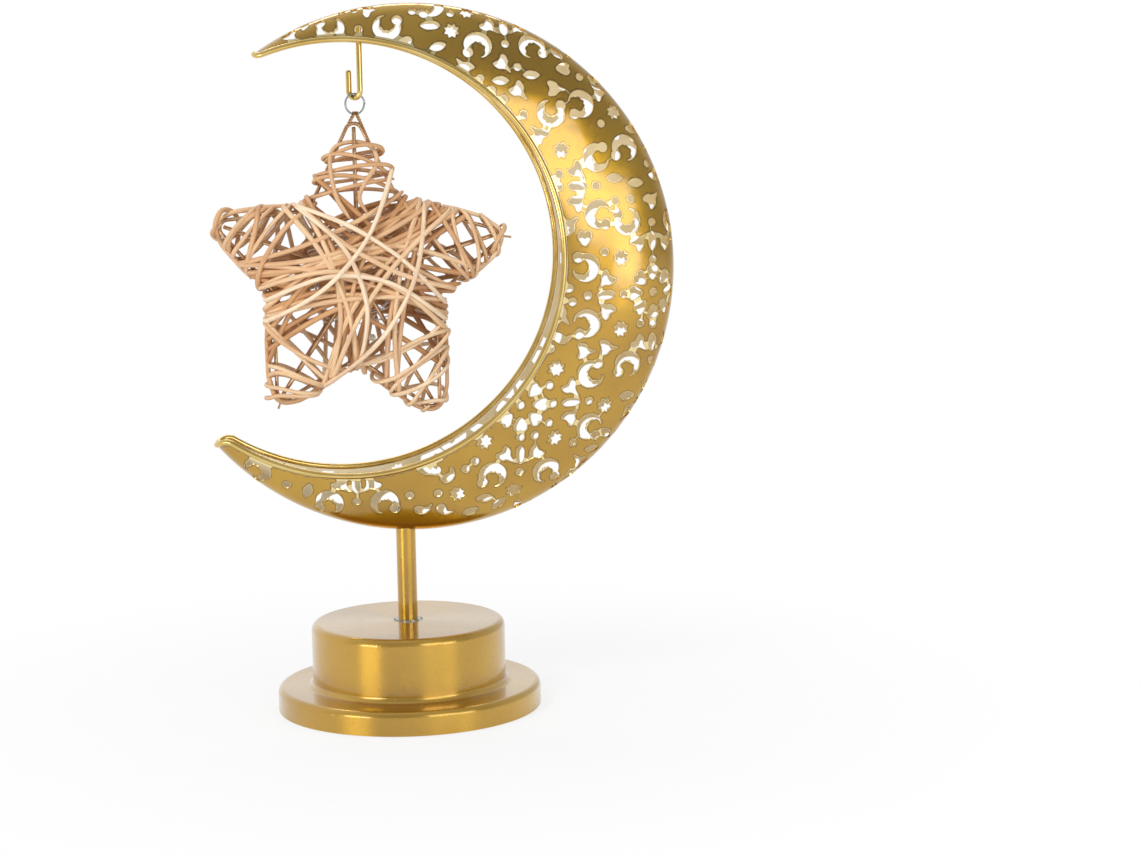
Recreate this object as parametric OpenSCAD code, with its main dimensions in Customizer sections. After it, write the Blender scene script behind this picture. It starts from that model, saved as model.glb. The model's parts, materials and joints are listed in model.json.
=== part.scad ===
// Crescent moon ornament: a pierced sheet crescent on a stepped round base, with a rattan star
// hung in its mouth. Millimetres; +X right, +Y to the rear, +Z up, origin under the base's middle.

/* [Crescent] */
// Radius of the crescent's outer edge
crescent_r = 111.6; // [104:0.1:118]
// How far the crescent's centre lies to the right of the post
crescent_x = 6; // [3:0.1:9]
// Radius of the round mouth to the middle of the rim wire, as a share of crescent_r
mouth_share = 0.8172; // [0.8:0.0005:0.83]
// How far the mouth's centre lies to the left of the crescent's, as a share of crescent_r
mouth_left_share = 0.2554; // [0.235:0.0005:0.275]
// How far the mouth's centre lies above the crescent's, as a share of crescent_r
mouth_up_share = 0.052; // [0.03:0.0005:0.07]
// Half of the crescent's greatest depth, as a share of crescent_r
belly_share = 0.1649; // [0.15:0.0005:0.185]
// Radius of the rolled outer edge
edge_r = 8; // [7:0.1:9]
// Thickness of the pierced sheet
sheet_t = 0.8; // [0.6:0.05:1]
// Diameter of the wire along the mouth
rim_d = 2.4; // [2:0.1:2.8]
// Gap between the wire and the sheet's cut edge, which solder fills
rim_gap = 0.1; // [0.05:0.05:0.2]
// Angle at the crescent's centre where the upper horn ends
upper_horn = 124.8; // [122:0.1:126]
// Angle at the crescent's centre where the lower horn ends
lower_horn = 220.3; // [219:0.1:224]

/* [Filigree] */
// Radius of one medallion, its eight petals out to their tips, as a share of crescent_r
medallion_share = 0.0986; // [0.092:0.0002:0.105]
// Least sheet left between a hole and an edge
web = 1.4; // [1.2:0.1:2]
// How far the rear sheet's pattern sits to the right of the front one's
rear_shift_x = 4; // [0:0.5:6]
// How far the rear sheet's pattern sits below the front one's
rear_shift_z = 5; // [0:0.5:7]

/* [Base] */
// Radius of the base's wide lower step
flange_r = 56.6; // [52:0.1:62]
// Height of the wide lower step
flange_h = 10.5; // [9.5:0.1:12]
// Radius of the drum above it
drum_r = 41.6; // [41:0.1:45]
// Height of the whole base
base_h = 37.5; // [36:0.1:42]
// Thickness of the spun cover
cover_t = 1.2; // [0.8:0.05:1.5]
// Rounding of the wide step's edge
flange_edge_r = 2.6; // [2:0.1:3.5]
// Rounding of the drum's upper edge
drum_edge_r = 3; // [2:0.1:4]
// Hollow rounding where the drum meets the step
drum_foot_r = 2.4; // [1.5:0.1:4]
// Gap between the cover's edge and the table
floor_gap = 0.4; // [0.2:0.1:0.8]

/* [Foot] */
// Thickness of the foam ring under the base
foot_t = 1.6; // [1.2:0.1:2.2]
// Width of the foam ring
foot_w = 9; // [6:0.1:10]
// Thickness of the plastic base plate
plate_t = 3; // [2.8:0.1:3.4]
// Gap round the base plate
plate_gap = 0.3; // [0.2:0.05:0.5]

/* [Batteries] */
// Diameter of one AA cell
cell_d = 14.2; // [13.5:0.1:14.5]
// Length of one AA cell without its button
cell_l = 49.2; // [48:0.1:50]
// Gap between neighbouring cells
cell_gap = 0.5; // [0.3:0.1:0.8]
// Wall of the battery tray
tray_t = 1.4; // [1.2:0.1:1.6]
// Free length of a battery spring
spring_l = 4.8; // [4.5:0.1:5.4]
// Wire of a battery spring
spring_wire = 0.8; // [0.6:0.05:0.9]
// Thickness of a contact plate
contact_t = 0.4; // [0.3:0.05:0.5]

/* [Switch] */
// Travel of the switch from its middle to either end
switch_travel = 1.5; // [1:0.1:2]
// Length of the switch body
switch_l = 12; // [11:0.1:14]
// Width of the switch body
switch_w = 6; // [5.5:0.1:7]

/* [Post] */
// Outer diameter of the post
post_d = 8.4; // [8:0.1:10]
// Height of the post between the base and the crescent
post_h = 39.4; // [35:0.1:45]
// Outer diameter of the threaded tube in the post
tube_d = 6; // [5.5:0.1:6.5]
// Bore of the threaded tube
tube_bore = 3.4; // [3:0.1:4]
// Width of the nuts across their flats
nut_w = 9; // [8.5:0.1:9.4]
// Height of a nut
nut_h = 5; // [4:0.1:6]
// Clearance between the tube and what it passes through
tube_gap = 0.1; // [0.05:0.01:0.2]

/* [Hook and ring] */
// Diameter of the hook's wire
hook_d = 2.4; // [2:0.1:2.8]
// Radius of the hook's bend, to the middle of its wire
hook_bend_r = 3; // [2.7:0.1:3.6]
// Height of the bend's lowest wire above the star's middle, as a share of crescent_r
hook_share = 0.672; // [0.655:0.0005:0.68]
// Height of the hook's tip above its bend
hook_tip_h = 7.4; // [5:0.1:9]
// Angle between the hook's bend and the crescent's plane
hook_turn = 41; // [30:1:60]
// Radius of the hanging ring, to the middle of its wire
ring_r = 4.3; // [4:0.1:4.8]
// Diameter of the ring's wire
ring_d = 1; // [0.8:0.1:1.1]
// Gap where one loose link rests on another
link_gap = 0.06; // [0.04:0.01:0.1]

/* [Star] */
// Distance of the star's middle to the left of the post, as a share of crescent_r
star_left_share = 0.1541; // [0.125:0.0005:0.18]
// How far the star's middle lies below the crescent's, as a share of crescent_r
star_below_share = 0.021; // [0.005:0.0005:0.045]
// Distance from the star's middle to the end of an arm, as a share of crescent_r
star_share = 0.5914; // [0.555:0.0005:0.6]
// Diameter of the rattan strand
strand_d = 2; // [1.8:0.1:2.2]
// Half of the frame's depth at the star's middle
frame_half = 8; // [7.5:0.1:9]
// Diameter of the frame's iron wire
frame_d = 1.6; // [1.4:0.1:1.8]
// Turns of rattan round each arm
arm_turns = 4; // [3:1:4]
// Least gap between one strand and whatever it passes
strand_gap = 0.3; // [0.25:0.05:0.5]
// Diameter of the wires that tie the star to its ring
tie_d = 0.9; // [0.7:0.1:1]
// Diameter of the light wire inside the star
led_d = 0.7; // [0.6:0.05:0.9]
// Diameter of a light bead
bead_d = 3; // [2.6:0.1:3.4]

/* [Hidden] */
$fn = 64;
over = 1; // one overrun for all cuts
fine_fn = 240; // for the crescent's wide rounds
gold = "#c99a3a";
pale_gold = "#e6c565";
rattan = "#cf9f76";

// Crescent's section: a wide dish arc that runs smoothly into the rolled edge's arc
mouth_r = mouth_share * crescent_r;
mouth_left = mouth_left_share * crescent_r;
mouth_up = mouth_up_share * crescent_r;
belly_half = belly_share * crescent_r;
medallion_r = medallion_share * crescent_r;
crest_r = mouth_r - mouth_left;
dish_w = crescent_r - crest_r;
edge_turn = 90 - 2 * atan((belly_half - edge_r) / (dish_w - edge_r));
dish_reach = (dish_w - edge_r) / cos(edge_turn);
dish_r = dish_reach + edge_r;
crest_z = -dish_reach * sin(edge_turn);
main_len = dish_r * (90 - edge_turn) * PI / 180;
flat_r = crest_r + main_len + edge_r * edge_turn * PI / 180;
mid_edge_r = crescent_r - sheet_t / 2;
mouth_at = [-mouth_left, mouth_up];
post_top = base_h + post_h;
crescent_z = post_top + sqrt(crescent_r * crescent_r - crescent_x * crescent_x);
star_x = -star_left_share * crescent_r;
star_z = crescent_z - star_below_share * crescent_r;
star_r = star_share * crescent_r;
hook_drop = hook_share * crescent_r;

// Points, curves and tubes
function unit(v) = v / norm(v);
function mix(a, b, t) = a + (b - a) * t;
function bend(a, b, c, t) = mix(mix(a, b, t), mix(b, c, t), t);
function chord(pts, i) = pts[min(i + 1, len(pts) - 1)] - pts[max(i - 1, 0)];
function square_to(n, t) = unit(n - (n * t) * t);
function side_of(t) = abs(t.z) > 0.8 ? [1, 0, 0] : [0, 0, 1];
function dirs(pts, first, last) = [
    for (i = [0:len(pts) - 1])
        i == 0 && first != undef ? first : i == len(pts) - 1 && last != undef ? last : unit(chord(pts, i))
];
function normals(ts) = [
    for (i = 0, n = square_to(side_of(ts[0]), ts[0]); i < len(ts);
        i = i + 1, n = i < len(ts) ? square_to(n, ts[i]) : n) n
];
function tube_points(pts, d, sides, ts, ns) = [
    for (i = [0:len(pts) - 1], k = [0:sides - 1])
        pts[i] + d / 2 * (cos(360 * k / sides) * ns[i] + sin(360 * k / sides) * cross(ts[i], ns[i]))
];
function tube_faces(rings, sides) = concat(
    [for (k = [1:sides - 2]) [0, k, k + 1]],
    [for (k = [1:sides - 2]) (rings - 1) * sides * [1, 1, 1] + [0, k + 1, k]],
    [
        for (i = [0:rings - 2], k = [0:sides - 1], half = [0, 1])
            let (a = i * sides + k, b = i * sides + (k + 1) % sides)
            half == 0 ? [a, a + sides, b + sides] : [a, b + sides, b]
    ]
);

module strand(pts, d, sides = 6, first = undef, last = undef) {
    ts = dirs(pts, first, last);
    polyhedron(tube_points(pts, d, sides, ts, normals(ts)), tube_faces(len(pts), sides));
}

// Base
module rounded_step(r, h, edge) {
    square([r - edge, h]);
    square([r, h - edge]);
    translate([r - edge, h - edge]) circle(edge);
}

module base_section(inset) {
    rounded_step(flange_r - inset, flange_h - inset, flange_edge_r - inset);
    rounded_step(drum_r - inset, base_h - inset, drum_edge_r - inset);
    foot_r = drum_foot_r + inset;
    translate([drum_r - inset, flange_h - inset]) difference() {
        translate([-cover_t, -cover_t]) square(foot_r + cover_t);
        translate([foot_r, foot_r]) circle(foot_r);
    }
}

module base_cover() color(gold) {
    rotate_extrude() difference() {
        base_section(0);
        base_section(cover_t);
        translate([0, -over]) square([flange_r + over, floor_gap + over]);
        square([tube_d / 2 + tube_gap, base_h + over]);
    }
}

plate_r = flange_r - cover_t - plate_gap;
plate_z = foot_t;
plate_top = plate_z + plate_t;
boss_d = 7;
boss_r = plate_r - 6;
boss_count = 3;
boss_start = 30; // degrees round from the right-hand side
screw_d = 2.6;
screw_head_d = 5;
screw_l = 6.5;
thread_gap = 0.05;
screw_room = 0.4; // depth left under a screw's end

door_t = 1.4;
door_inset = 0.2; // the door's face lies this far inside the plate's
door_gap = 0.3;
door_lip = 1.6;
tongue_l = 1.4;
tongue_t = 0.7;
tongue_w = 8;
tongue_share = 0.3; // of the door's width, from its middle to a tongue's
swing_gap = 0.8; // room for the door's end as it tilts
pocket_rise = 0.9;
grip_w = 9;
grip_d = 2.6;

cells = 3;
button_d = 5.4;
button_h = 1;
cell_pitch = cell_d + cell_gap;
bay_w = cells * cell_pitch + cell_gap;
bay_l = cell_l + button_h + spring_l + 2 * contact_t;
door_z = plate_z + door_inset;
door_top = door_z + door_t;
cell_z = door_top + door_gap + cell_d / 2;
bay_top = cell_z + cell_d / 2 + door_gap;
door_w = bay_w + 2 * door_lip - 2 * door_gap;
door_l = bay_l + 2 * door_lip - door_gap - swing_gap;
door_y = (swing_gap - door_gap) / 2;
door_hinge_y = door_y - door_l / 2;
door_hinge_z = door_top - tongue_t / 2;

slider_l = 4;
slider_w = 2.4;
slider_drop = 0.6; // how far the knob stands out of the plate
slider_foot_l = 6;
slider_foot_w = 3.6;
slider_foot_t = 1.2;
slide_gap = 0.3;
switch_h = 5;
switch_y = bay_l / 2 + tray_t + door_lip + switch_w / 2;
terminal_d = 0.8;
terminal_h = 2;
terminal_pitch = 3;

module at_bosses() {
    for (i = [0:boss_count - 1])
        rotate([0, 0, boss_start + 360 * i / boss_count]) translate([boss_r, 0, 0]) children();
}

module block(size, at) {
    translate([at.x - size.x / 2, at.y - size.y / 2, at.z]) cube(size);
}

module screw_head(gap) {
    cylinder(d1 = screw_head_d + 2 * gap, d2 = screw_d + 2 * gap, h = (screw_head_d - screw_d) / 2);
}

module base_plate() color("#2b2a28") difference() {
    union() {
        translate([0, 0, plate_z]) cylinder(r = plate_r, h = plate_t);
        block([bay_w + 2 * tray_t, bay_l + 2 * tray_t, bay_top + tray_t - plate_z], [0, 0, plate_z]);
    }
    block([bay_w, bay_l, bay_top - plate_z + over], [0, 0, plate_z - over]);
    block(
        [bay_w + 2 * door_lip, bay_l + 2 * door_lip, door_inset + door_t + door_gap + over],
        [0, 0, plate_z - over]
    );
    for (side = [-1, 1]) block(
        [tongue_w + 2 * door_gap, 2 * (tongue_l + door_gap), tongue_t + door_gap + pocket_rise],
        [side * tongue_share * door_w, -bay_l / 2 - door_lip, door_top - tongue_t - door_gap]
    );
    block(
        [slider_l + 2 * switch_travel + 2 * slide_gap, slider_w + 2 * slide_gap, plate_t + 2 * over],
        [0, switch_y, plate_z - over]
    );
    at_bosses() {
        translate([0, 0, plate_z - over]) cylinder(d = screw_d + 2 * thread_gap, h = plate_t + 2 * over);
        translate([0, 0, plate_z]) screw_head(thread_gap);
    }
}

module plate_bosses() color("#9a9a96") at_bosses() difference() {
    translate([0, 0, plate_top]) cylinder(d = boss_d, h = flange_h - cover_t - plate_top);
    translate([0, 0, plate_top - over])
        cylinder(d = screw_d + 2 * thread_gap, h = screw_l - plate_t + screw_room + over);
}

module plate_screws() color("#b9bcbd") at_bosses() translate([0, 0, plate_z]) {
    screw_head(0);
    cylinder(d = screw_d, h = screw_l);
}

module foot_ring() color("#1f1f1e") difference() {
    cylinder(r = plate_r - plate_gap, h = foot_t);
    translate([0, 0, -over]) cylinder(r = plate_r - plate_gap - foot_w, h = foot_t + 2 * over);
}

module battery_door() color("#2b2a28") difference() {
    union() {
        block([door_w, door_l, door_t], [0, door_y, door_z]);
        for (side = [-1, 1]) block(
            [tongue_w, tongue_l * 2, tongue_t],
            [side * tongue_share * door_w, door_hinge_y, door_top - tongue_t]
        );
    }
    translate([0, door_y + door_l / 2 - grip_w / 2, door_z - over]) intersection() {
        cylinder(d = grip_w, h = door_t / 2 + over);
        block([grip_w, grip_d, door_t], [0, 0, 0]);
    }
}

function cell_x(i) = (i - (cells - 1) / 2) * cell_pitch;
function cell_way(i) = i % 2 == 0 ? 1 : -1;

module along_cell(i) {
    translate([cell_x(i), 0, cell_z]) rotate([-90 * cell_way(i), 0, 0]) children();
}

// A cell's own axis runs from its spring to its button
cell_from = -bay_l / 2 + contact_t + spring_l;
module battery_cells() color("#3c5f8a") for (i = [0:cells - 1]) along_cell(i) translate([0, 0, cell_from]) {
    cylinder(d = cell_d, h = cell_l);
    cylinder(d = button_d, h = cell_l + button_h);
}

spring_turns = 3.5;
spring_end_gap = 0.1;
spring_base_share = 0.36; // of a cell's diameter, the spring's widest radius
spring_tip_share = 0.24;
curl_rings = 8;
function spring_path() = [
    for (i = [0:curl_rings * spring_turns])
        let (t = i / (curl_rings * spring_turns), r = cell_d * mix(spring_base_share, spring_tip_share, t))
        [
            r * cos(360 * spring_turns * t), r * sin(360 * spring_turns * t),
            mix(spring_wire / 2 + spring_end_gap, spring_l - spring_wire / 2 - spring_end_gap, t)
        ]
];

module contact_springs() color("#c8c9c6") for (i = [0:cells - 1]) along_cell(i)
    translate([0, 0, -bay_l / 2 + contact_t]) strand(spring_path(), spring_wire);

contact_w = 9;
contact_h = 10;
module contact_plate(from, to, side) {
    block(
        [cell_x(to) - cell_x(from) + contact_w, contact_t, contact_h],
        [(cell_x(from) + cell_x(to)) / 2, side * (bay_l - contact_t) / 2, cell_z - contact_h / 2]
    );
}

module contact_plates() color("#c8c9c6") {
    contact_plate(0, 1, 1);
    contact_plate(2, 2, 1);
    contact_plate(0, 0, -1);
    contact_plate(1, 2, -1);
}

module switch_body() color("#222222") {
    difference() {
        block([switch_l, switch_w, switch_h], [0, switch_y, plate_top]);
        block(
            [
                slider_foot_l + 2 * switch_travel + 2 * slide_gap, slider_foot_w + 2 * slide_gap,
                slider_foot_t + 2 * slide_gap + over
            ],
            [0, switch_y, plate_top - over]
        );
    }
    for (i = [-1:1]) translate([i * terminal_pitch, switch_y, plate_top + switch_h])
        cylinder(d = terminal_d, h = terminal_h);
}

module switch_slider() color("#e8e6df") {
    block([slider_l, slider_w, plate_t + slider_drop + slide_gap], [0, switch_y, plate_z - slider_drop]);
    block([slider_foot_l, slider_foot_w, slider_foot_t], [0, switch_y, plate_top + slide_gap]);
}

// Post, with the threaded tube that clamps the crescent to the base
washer_t = 1.2;
washer_d = 16;
tube_tail = 2.5; // how far the tube stands out of either nut
saddle_h = 2.6;
saddle_d = 12;
nut_rise = 0.6; // height of the turned chamfer on a nut's corners
nut_edge_share = 0.6;
lock_t = 0.5;
lock_d = 12.4;
lock_teeth = 16;
lock_root_share = 0.84; // of the lock washer's radius, the roots of its teeth
weld_gap = 0.05;
nut_z = post_top + sheet_t + saddle_h;

module edge_ring(r) {
    crescent_place() rotate_extrude($fn = fine_fn) translate([crescent_r - edge_r, 0]) circle(r);
}

module post() color(gold) difference() {
    translate([0, 0, base_h + lock_t]) cylinder(d = post_d, h = post_h + edge_r / 2 - lock_t);
    translate([0, 0, base_h - over]) cylinder(d = tube_d + 2 * tube_gap, h = post_h + edge_r);
    edge_ring(edge_r + weld_gap);
    translate([0, 0, post_top + edge_r / 4]) cylinder(d = post_d + over, h = edge_r);
}

module threaded_tube() color("#a9acab") {
    bottom = base_h - cover_t - washer_t - nut_h - tube_tail;
    translate([0, 0, bottom]) difference() {
        cylinder(d = tube_d, h = nut_z + nut_h + tube_tail - bottom);
        translate([0, 0, -over]) cylinder(d = tube_bore, h = nut_z + nut_h + tube_tail - bottom + 2 * over);
    }
}

module nut(z) {
    translate([0, 0, z]) difference() {
        intersection() {
            cylinder(d = nut_w / cos(30), h = nut_h, $fn = 6);
            rotate_extrude() polygon([
                [0, 0], [nut_w / 2, 0], [nut_w * nut_edge_share, nut_rise],
                [nut_w * nut_edge_share, nut_h - nut_rise], [nut_w / 2, nut_h], [0, nut_h]
            ]);
        }
        translate([0, 0, -over]) cylinder(d = tube_d + 2 * tube_gap, h = nut_h + 2 * over);
    }
}

module base_nut() color("#a9acab") nut(base_h - cover_t - washer_t - nut_h);

module base_washer() color("#a9acab") translate([0, 0, base_h - cover_t - washer_t]) difference() {
    cylinder(d = washer_d, h = washer_t);
    translate([0, 0, -over]) cylinder(d = tube_d + 2 * tube_gap, h = washer_t + 2 * over);
}

module post_washer() color("#a9acab") translate([0, 0, base_h]) difference() {
    linear_extrude(lock_t) polygon([
        for (k = [0:2 * lock_teeth - 1])
            polar(180 * k / lock_teeth, lock_d / 2 * (k % 2 == 0 ? 1 : lock_root_share))
    ]);
    translate([0, 0, -over]) cylinder(d = tube_d + 2 * tube_gap, h = lock_t + 2 * over);
}

module crescent_washer() color("#a9acab") difference() {
    intersection() {
        edge_ring(edge_r - sheet_t - weld_gap);
        translate([0, 0, post_top]) cylinder(d = saddle_d, h = sheet_t + saddle_h);
    }
    translate([0, 0, post_top - over]) cylinder(d = tube_d + 2 * tube_gap, h = edge_r);
}

module crescent_nut() color("#a9acab") nut(nut_z);

// Crescent
module crescent_place() {
    translate([crescent_x, 0, crescent_z]) rotate([90, 0, 0]) children();
}

function polar(a, r) = r * [cos(a), sin(a)];
function wedge(a0, a1, r) = [[0, 0], polar(a0, r), polar((a0 + a1) / 2, 2 * r), polar(a1, r)];

module arc_strip(at, r, a0, a1) {
    translate(at) intersection() {
        difference() {
            circle(r);
            circle(r - sheet_t);
        }
        polygon(wedge(a0, a1, 2 * r));
    }
}

lap_share = 0.03; // of the sheet's thickness, how far the edge's arc stands out of the dish's
lap_turn = 6; // degrees that the edge's arc runs on under the dish's

module crescent_section() {
    arc_strip([crest_r, crest_z], dish_r, edge_turn - lap_turn * edge_r / dish_r, 90);
    translate(lap_share * sheet_t * [cos(edge_turn), sin(edge_turn)])
        arc_strip([crescent_r - edge_r, 0], edge_r, 0, edge_turn + lap_turn);
}

// Height of the sheet's middle above the crescent's plane, at a distance from the crescent's axis
function sheet_z(r) = r < crest_r + (dish_r - sheet_t / 2) * cos(edge_turn)
    ? crest_z + sqrt(pow(dish_r - sheet_t / 2, 2) - pow(r - crest_r, 2))
    : sqrt(max(0, pow(edge_r - sheet_t / 2, 2) - pow(r - crescent_r + edge_r, 2)));

// Slope of the outside of the sheet at a length along it from the crest, and the place there
function sheet_turn(s) = s < main_len
    ? s / dish_r * 180 / PI
    : 90 - edge_turn + (s - main_len) / edge_r * 180 / PI;
function sheet_place(s) = s < main_len
    ? [crest_r, crest_z] + dish_r * [sin(sheet_turn(s)), cos(sheet_turn(s))]
    : [crescent_r - edge_r, 0] + edge_r * [sin(sheet_turn(s)), cos(sheet_turn(s))];

// Plan of the rim wire's middle: round the mouth, then out across each blunt horn
function mouth_point(a) =
    let (d = polar(a, 1), k = d * mouth_at)
    d * (k + sqrt(k * k - mouth_at * mouth_at + mouth_r * mouth_r));
function outer_point(a) = polar(a, mid_edge_r);
horn_bend = 2.2; // degrees over which the wire turns out of the mouth
function horn_plan(a, back, steps) = [
    for (i = [0:steps])
        let (t = 1 - pow(1 - i / steps, 2))
        bend(mouth_point(a + back), mouth_point(a), outer_point(a), t)
];
function mouth_angle(p) = atan2(p.y - mouth_at.y, p.x - mouth_at.x);
rim_steps = 44;
horn_steps = 7;
low_plan = horn_plan(lower_horn, horn_bend, horn_steps);
high_plan = horn_plan(upper_horn, -horn_bend, horn_steps);
mouth_from = mouth_angle(low_plan[0]);
mouth_to = mouth_angle(high_plan[0]);
rim_plan = concat(
    [for (i = [0:horn_steps - 1]) low_plan[horn_steps - i]],
    [
        for (i = [0:rim_steps])
            let (a = mouth_from + (mouth_to - mouth_from) * i / rim_steps)
            mouth_at + mouth_r * [cos(a), sin(a)]
    ],
    [for (i = [1:horn_steps]) high_plan[i]]
);
rim_path = [
    for (i = [0:len(rim_plan) - 1])
        let (p = rim_plan[i])
        [p.x, p.y, i == 0 || i == len(rim_plan) - 1 ? 0 : sheet_z(norm(p))]
];

// A medallion's holes round its middle, as shares of the medallion's radius
petal_share = 0.77;
axis_shares = [1.27, 2, 2.73, 3.36, 4.3];
axis_kinds = ["dot", "long", "dot", "diamond", "eye"];
leaf_shares = [2.05, 0.6];
scroll_shares = [2.87, 1.05];
star_shares = [1.41, 1.37];
function turned(p, a) = [p.x * cos(a) - p.y * sin(a), p.x * sin(a) + p.y * cos(a)];
medallion_spots = concat(
    [["dot", [0, 0], 0]],
    [for (i = [0:7]) ["petal", polar(45 * i, petal_share), 45 * i]],
    [for (i = [0:3], j = [0:4]) [axis_kinds[j], polar(90 * i, axis_shares[j]), 90 * i]],
    [for (i = [0:3]) ["leaf_left", turned(leaf_shares, 90 * i), 90 * i]],
    [for (i = [0:3]) ["leaf_right", turned([leaf_shares.x, -leaf_shares.y], 90 * i), 90 * i]],
    [for (i = [0:3]) ["scroll_left", turned(scroll_shares, 90 * i), 90 * i]],
    [for (i = [0:3]) ["scroll_right", turned([scroll_shares.x, -scroll_shares.y], 90 * i), 90 * i]],
    [for (i = [0:3]) ["star", turned(star_shares, 90 * i), 0]]
);

// Middles of the medallions, and single holes between them, as shares of the crescent's radius
medallion_shares = [
    [0.385, -0.511], [0.918, -0.103], [0.421, 0.309], [0.923, 0.726], [0.367, 1.12],
    [-0.184, 0.645], [-0.242, -0.609]
];
single_shares = [
    ["eye", [0.856, 0.318], 0], ["eye", [0.815, -0.506], 0], ["eye", [0.735, -0.654], -45],
    ["eye", [0.538, -0.815], -60], ["comma", [0.547, -0.26], 0], ["dot", [0.59, -0.125], 0],
    ["eye", [0.251, -0.883], 0], ["comma", [0.108, -0.78], 60], ["dot", [0.175, -0.753], 0],
    ["dot", [0.211, -0.723], 0], ["star", [0.143, -0.856], 0], ["dot", [0.07, -0.85], 0],
    ["comma", [0.009, -0.92], 20], ["comma", [0.09, -0.925], -30], ["eye", [0.195, -0.94], 20],
    ["dot", [-0.04, -0.855], 0], ["eye", [-0.43, -0.835], 70], ["dot", [-0.51, -0.81], 0],
    ["scroll_left", [-0.628, -0.757], 200], ["eye", [-0.054, 0.905], 10], ["comma", [-0.11, 0.965], 40],
    ["dot", [0.02, 0.985], 0], ["long", [0.085, 0.925], 0], ["eye", [0.11, 0.84], 15],
    ["dot", [0.165, 0.975], 0], ["eye", [-0.28, 0.925], 10], ["eye", [0.34, 0.708], 0],
    ["eye", [0.46, 0.73], 0], ["eye", [0.57, 0.82], -40]
];

// How far each hole reaches from its middle, as a share of the medallion's radius
reach_shares = [
    ["dot", 0.16], ["petal", 0.3], ["long", 0.38], ["diamond", 0.34], ["eye", 0.33], ["star", 0.31],
    ["leaf_left", 0.4], ["leaf_right", 0.4], ["scroll_left", 0.56], ["scroll_right", 0.56],
    ["comma", 0.42]
];
function reach(kind) = medallion_r * reach_shares[search([kind], reach_shares)[0]][1];
function medallion_at(i) = medallion_shares[i] * crescent_r;
function is_nearest(p, i) =
    min([for (j = [0:len(medallion_shares) - 1]) norm(p - medallion_at(j))]) >= norm(p - medallion_at(i));
function on_sheet(p, size) =
    let (s = norm(p) - crest_r, q = sheet_place(s).x * unit(p))
    s > 0 && norm(p) < flat_r - size - web && norm(q - mouth_at) > mouth_r + rim_d / 2 + size + web / 2;
function filigree_spots(shift) = concat(
    [
        for (i = [0:len(medallion_shares) - 1], spot = medallion_spots)
            let (p = medallion_at(i) + medallion_r * spot[1])
            if (is_nearest(p, i) && on_sheet(p + shift, reach(spot[0]))) [spot[0], p + shift, spot[2]]
    ],
    [
        for (spot = single_shares)
            let (p = crescent_r * spot[1])
            if (on_sheet(p + shift, reach(spot[0]))) [spot[0], p + shift, spot[2]]
    ]
);

petal_shares = [
    [-0.24, -0.1], [0.12, -0.28], [0.27, -0.13], [0.2, 0], [0.27, 0.13], [0.12, 0.28], [-0.24, 0.1]
];
long_shares = [[-0.38, 0], [-0.2, -0.15], [0.25, -0.13], [0.38, 0], [0.25, 0.13], [-0.2, 0.15]];
leaf_edge_shares = [
    [-0.36, 0], [-0.18, -0.2], [0.06, -0.22], [0.3, -0.35], [0.16, -0.05], [0.17, 0.12], [0.1, 0.33],
    [-0.02, 0.33], [-0.13, 0.13]
];
comma_shares = [
    [-0.3, -0.02], [-0.1, -0.2], [0.18, -0.18], [0.4, 0.1], [0.16, 0.02], [-0.02, 0.16], [-0.22, 0.2]
];
scroll_cut_shares = [[0, -0.05], [1, -0.25], [1, 0.6], [-0.1, 0.6]];
scroll_end_shares = [0.02, 0.36];
scroll_end_share = 0.22;
scroll_bore_share = 0.2;
eye_share = 0.41;
eye_shift_share = 0.24;
diamond_waist_share = 0.24;
diamond_dent_share = 0.19;
star_dent_share = 0.215;

function dent_share(i) = i % 4 == 2 ? diamond_waist_share : diamond_dent_share;

module scroll() {
    difference() {
        circle(reach("scroll_left"));
        circle(scroll_bore_share * medallion_r);
        polygon(medallion_r * scroll_cut_shares);
    }
    translate(scroll_end_shares * medallion_r) circle(scroll_end_share * medallion_r);
}

module hole(kind) {
    if (kind == "dot") circle(reach(kind));
    if (kind == "petal") polygon(medallion_r * petal_shares);
    if (kind == "long") polygon(medallion_r * long_shares);
    if (kind == "comma") polygon(medallion_r * comma_shares);
    if (kind == "leaf_left") polygon(medallion_r * leaf_edge_shares);
    if (kind == "leaf_right") mirror([0, 1]) polygon(medallion_r * leaf_edge_shares);
    if (kind == "scroll_left") mirror([0, 1]) scroll();
    if (kind == "scroll_right") scroll();
    if (kind == "eye") intersection() {
        translate([0, eye_shift_share * medallion_r]) circle(eye_share * medallion_r);
        translate([0, -eye_shift_share * medallion_r]) circle(eye_share * medallion_r);
    }
    if (kind == "diamond") polygon([
        for (i = [0:15]) polar(22.5 * i, i % 4 == 0 ? reach(kind) : medallion_r * dent_share(i))
    ]);
    if (kind == "star") polygon([
        for (i = [0:15]) polar(22.5 * i, i % 2 == 0 ? reach(kind) : star_dent_share * medallion_r)
    ]);
}

module filigree(shift) {
    for (spot = filigree_spots(shift)) {
        s = norm(spot[1]) - crest_r;
        at = sheet_place(s);
        phi = atan2(spot[1].y, spot[1].x);
        rotate([0, 0, phi]) translate([at.x, 0, at.y]) rotate([0, sheet_turn(s), 0])
            rotate([0, 0, spot[2] - phi]) linear_extrude(edge_r, center = true) hole(spot[0]);
    }
}

horn_inset = (rim_d / 2 + rim_gap) / mid_edge_r * 180 / PI;
horn_from = lower_horn + horn_inset;
horn_to = 360 + upper_horn - horn_inset;

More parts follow.
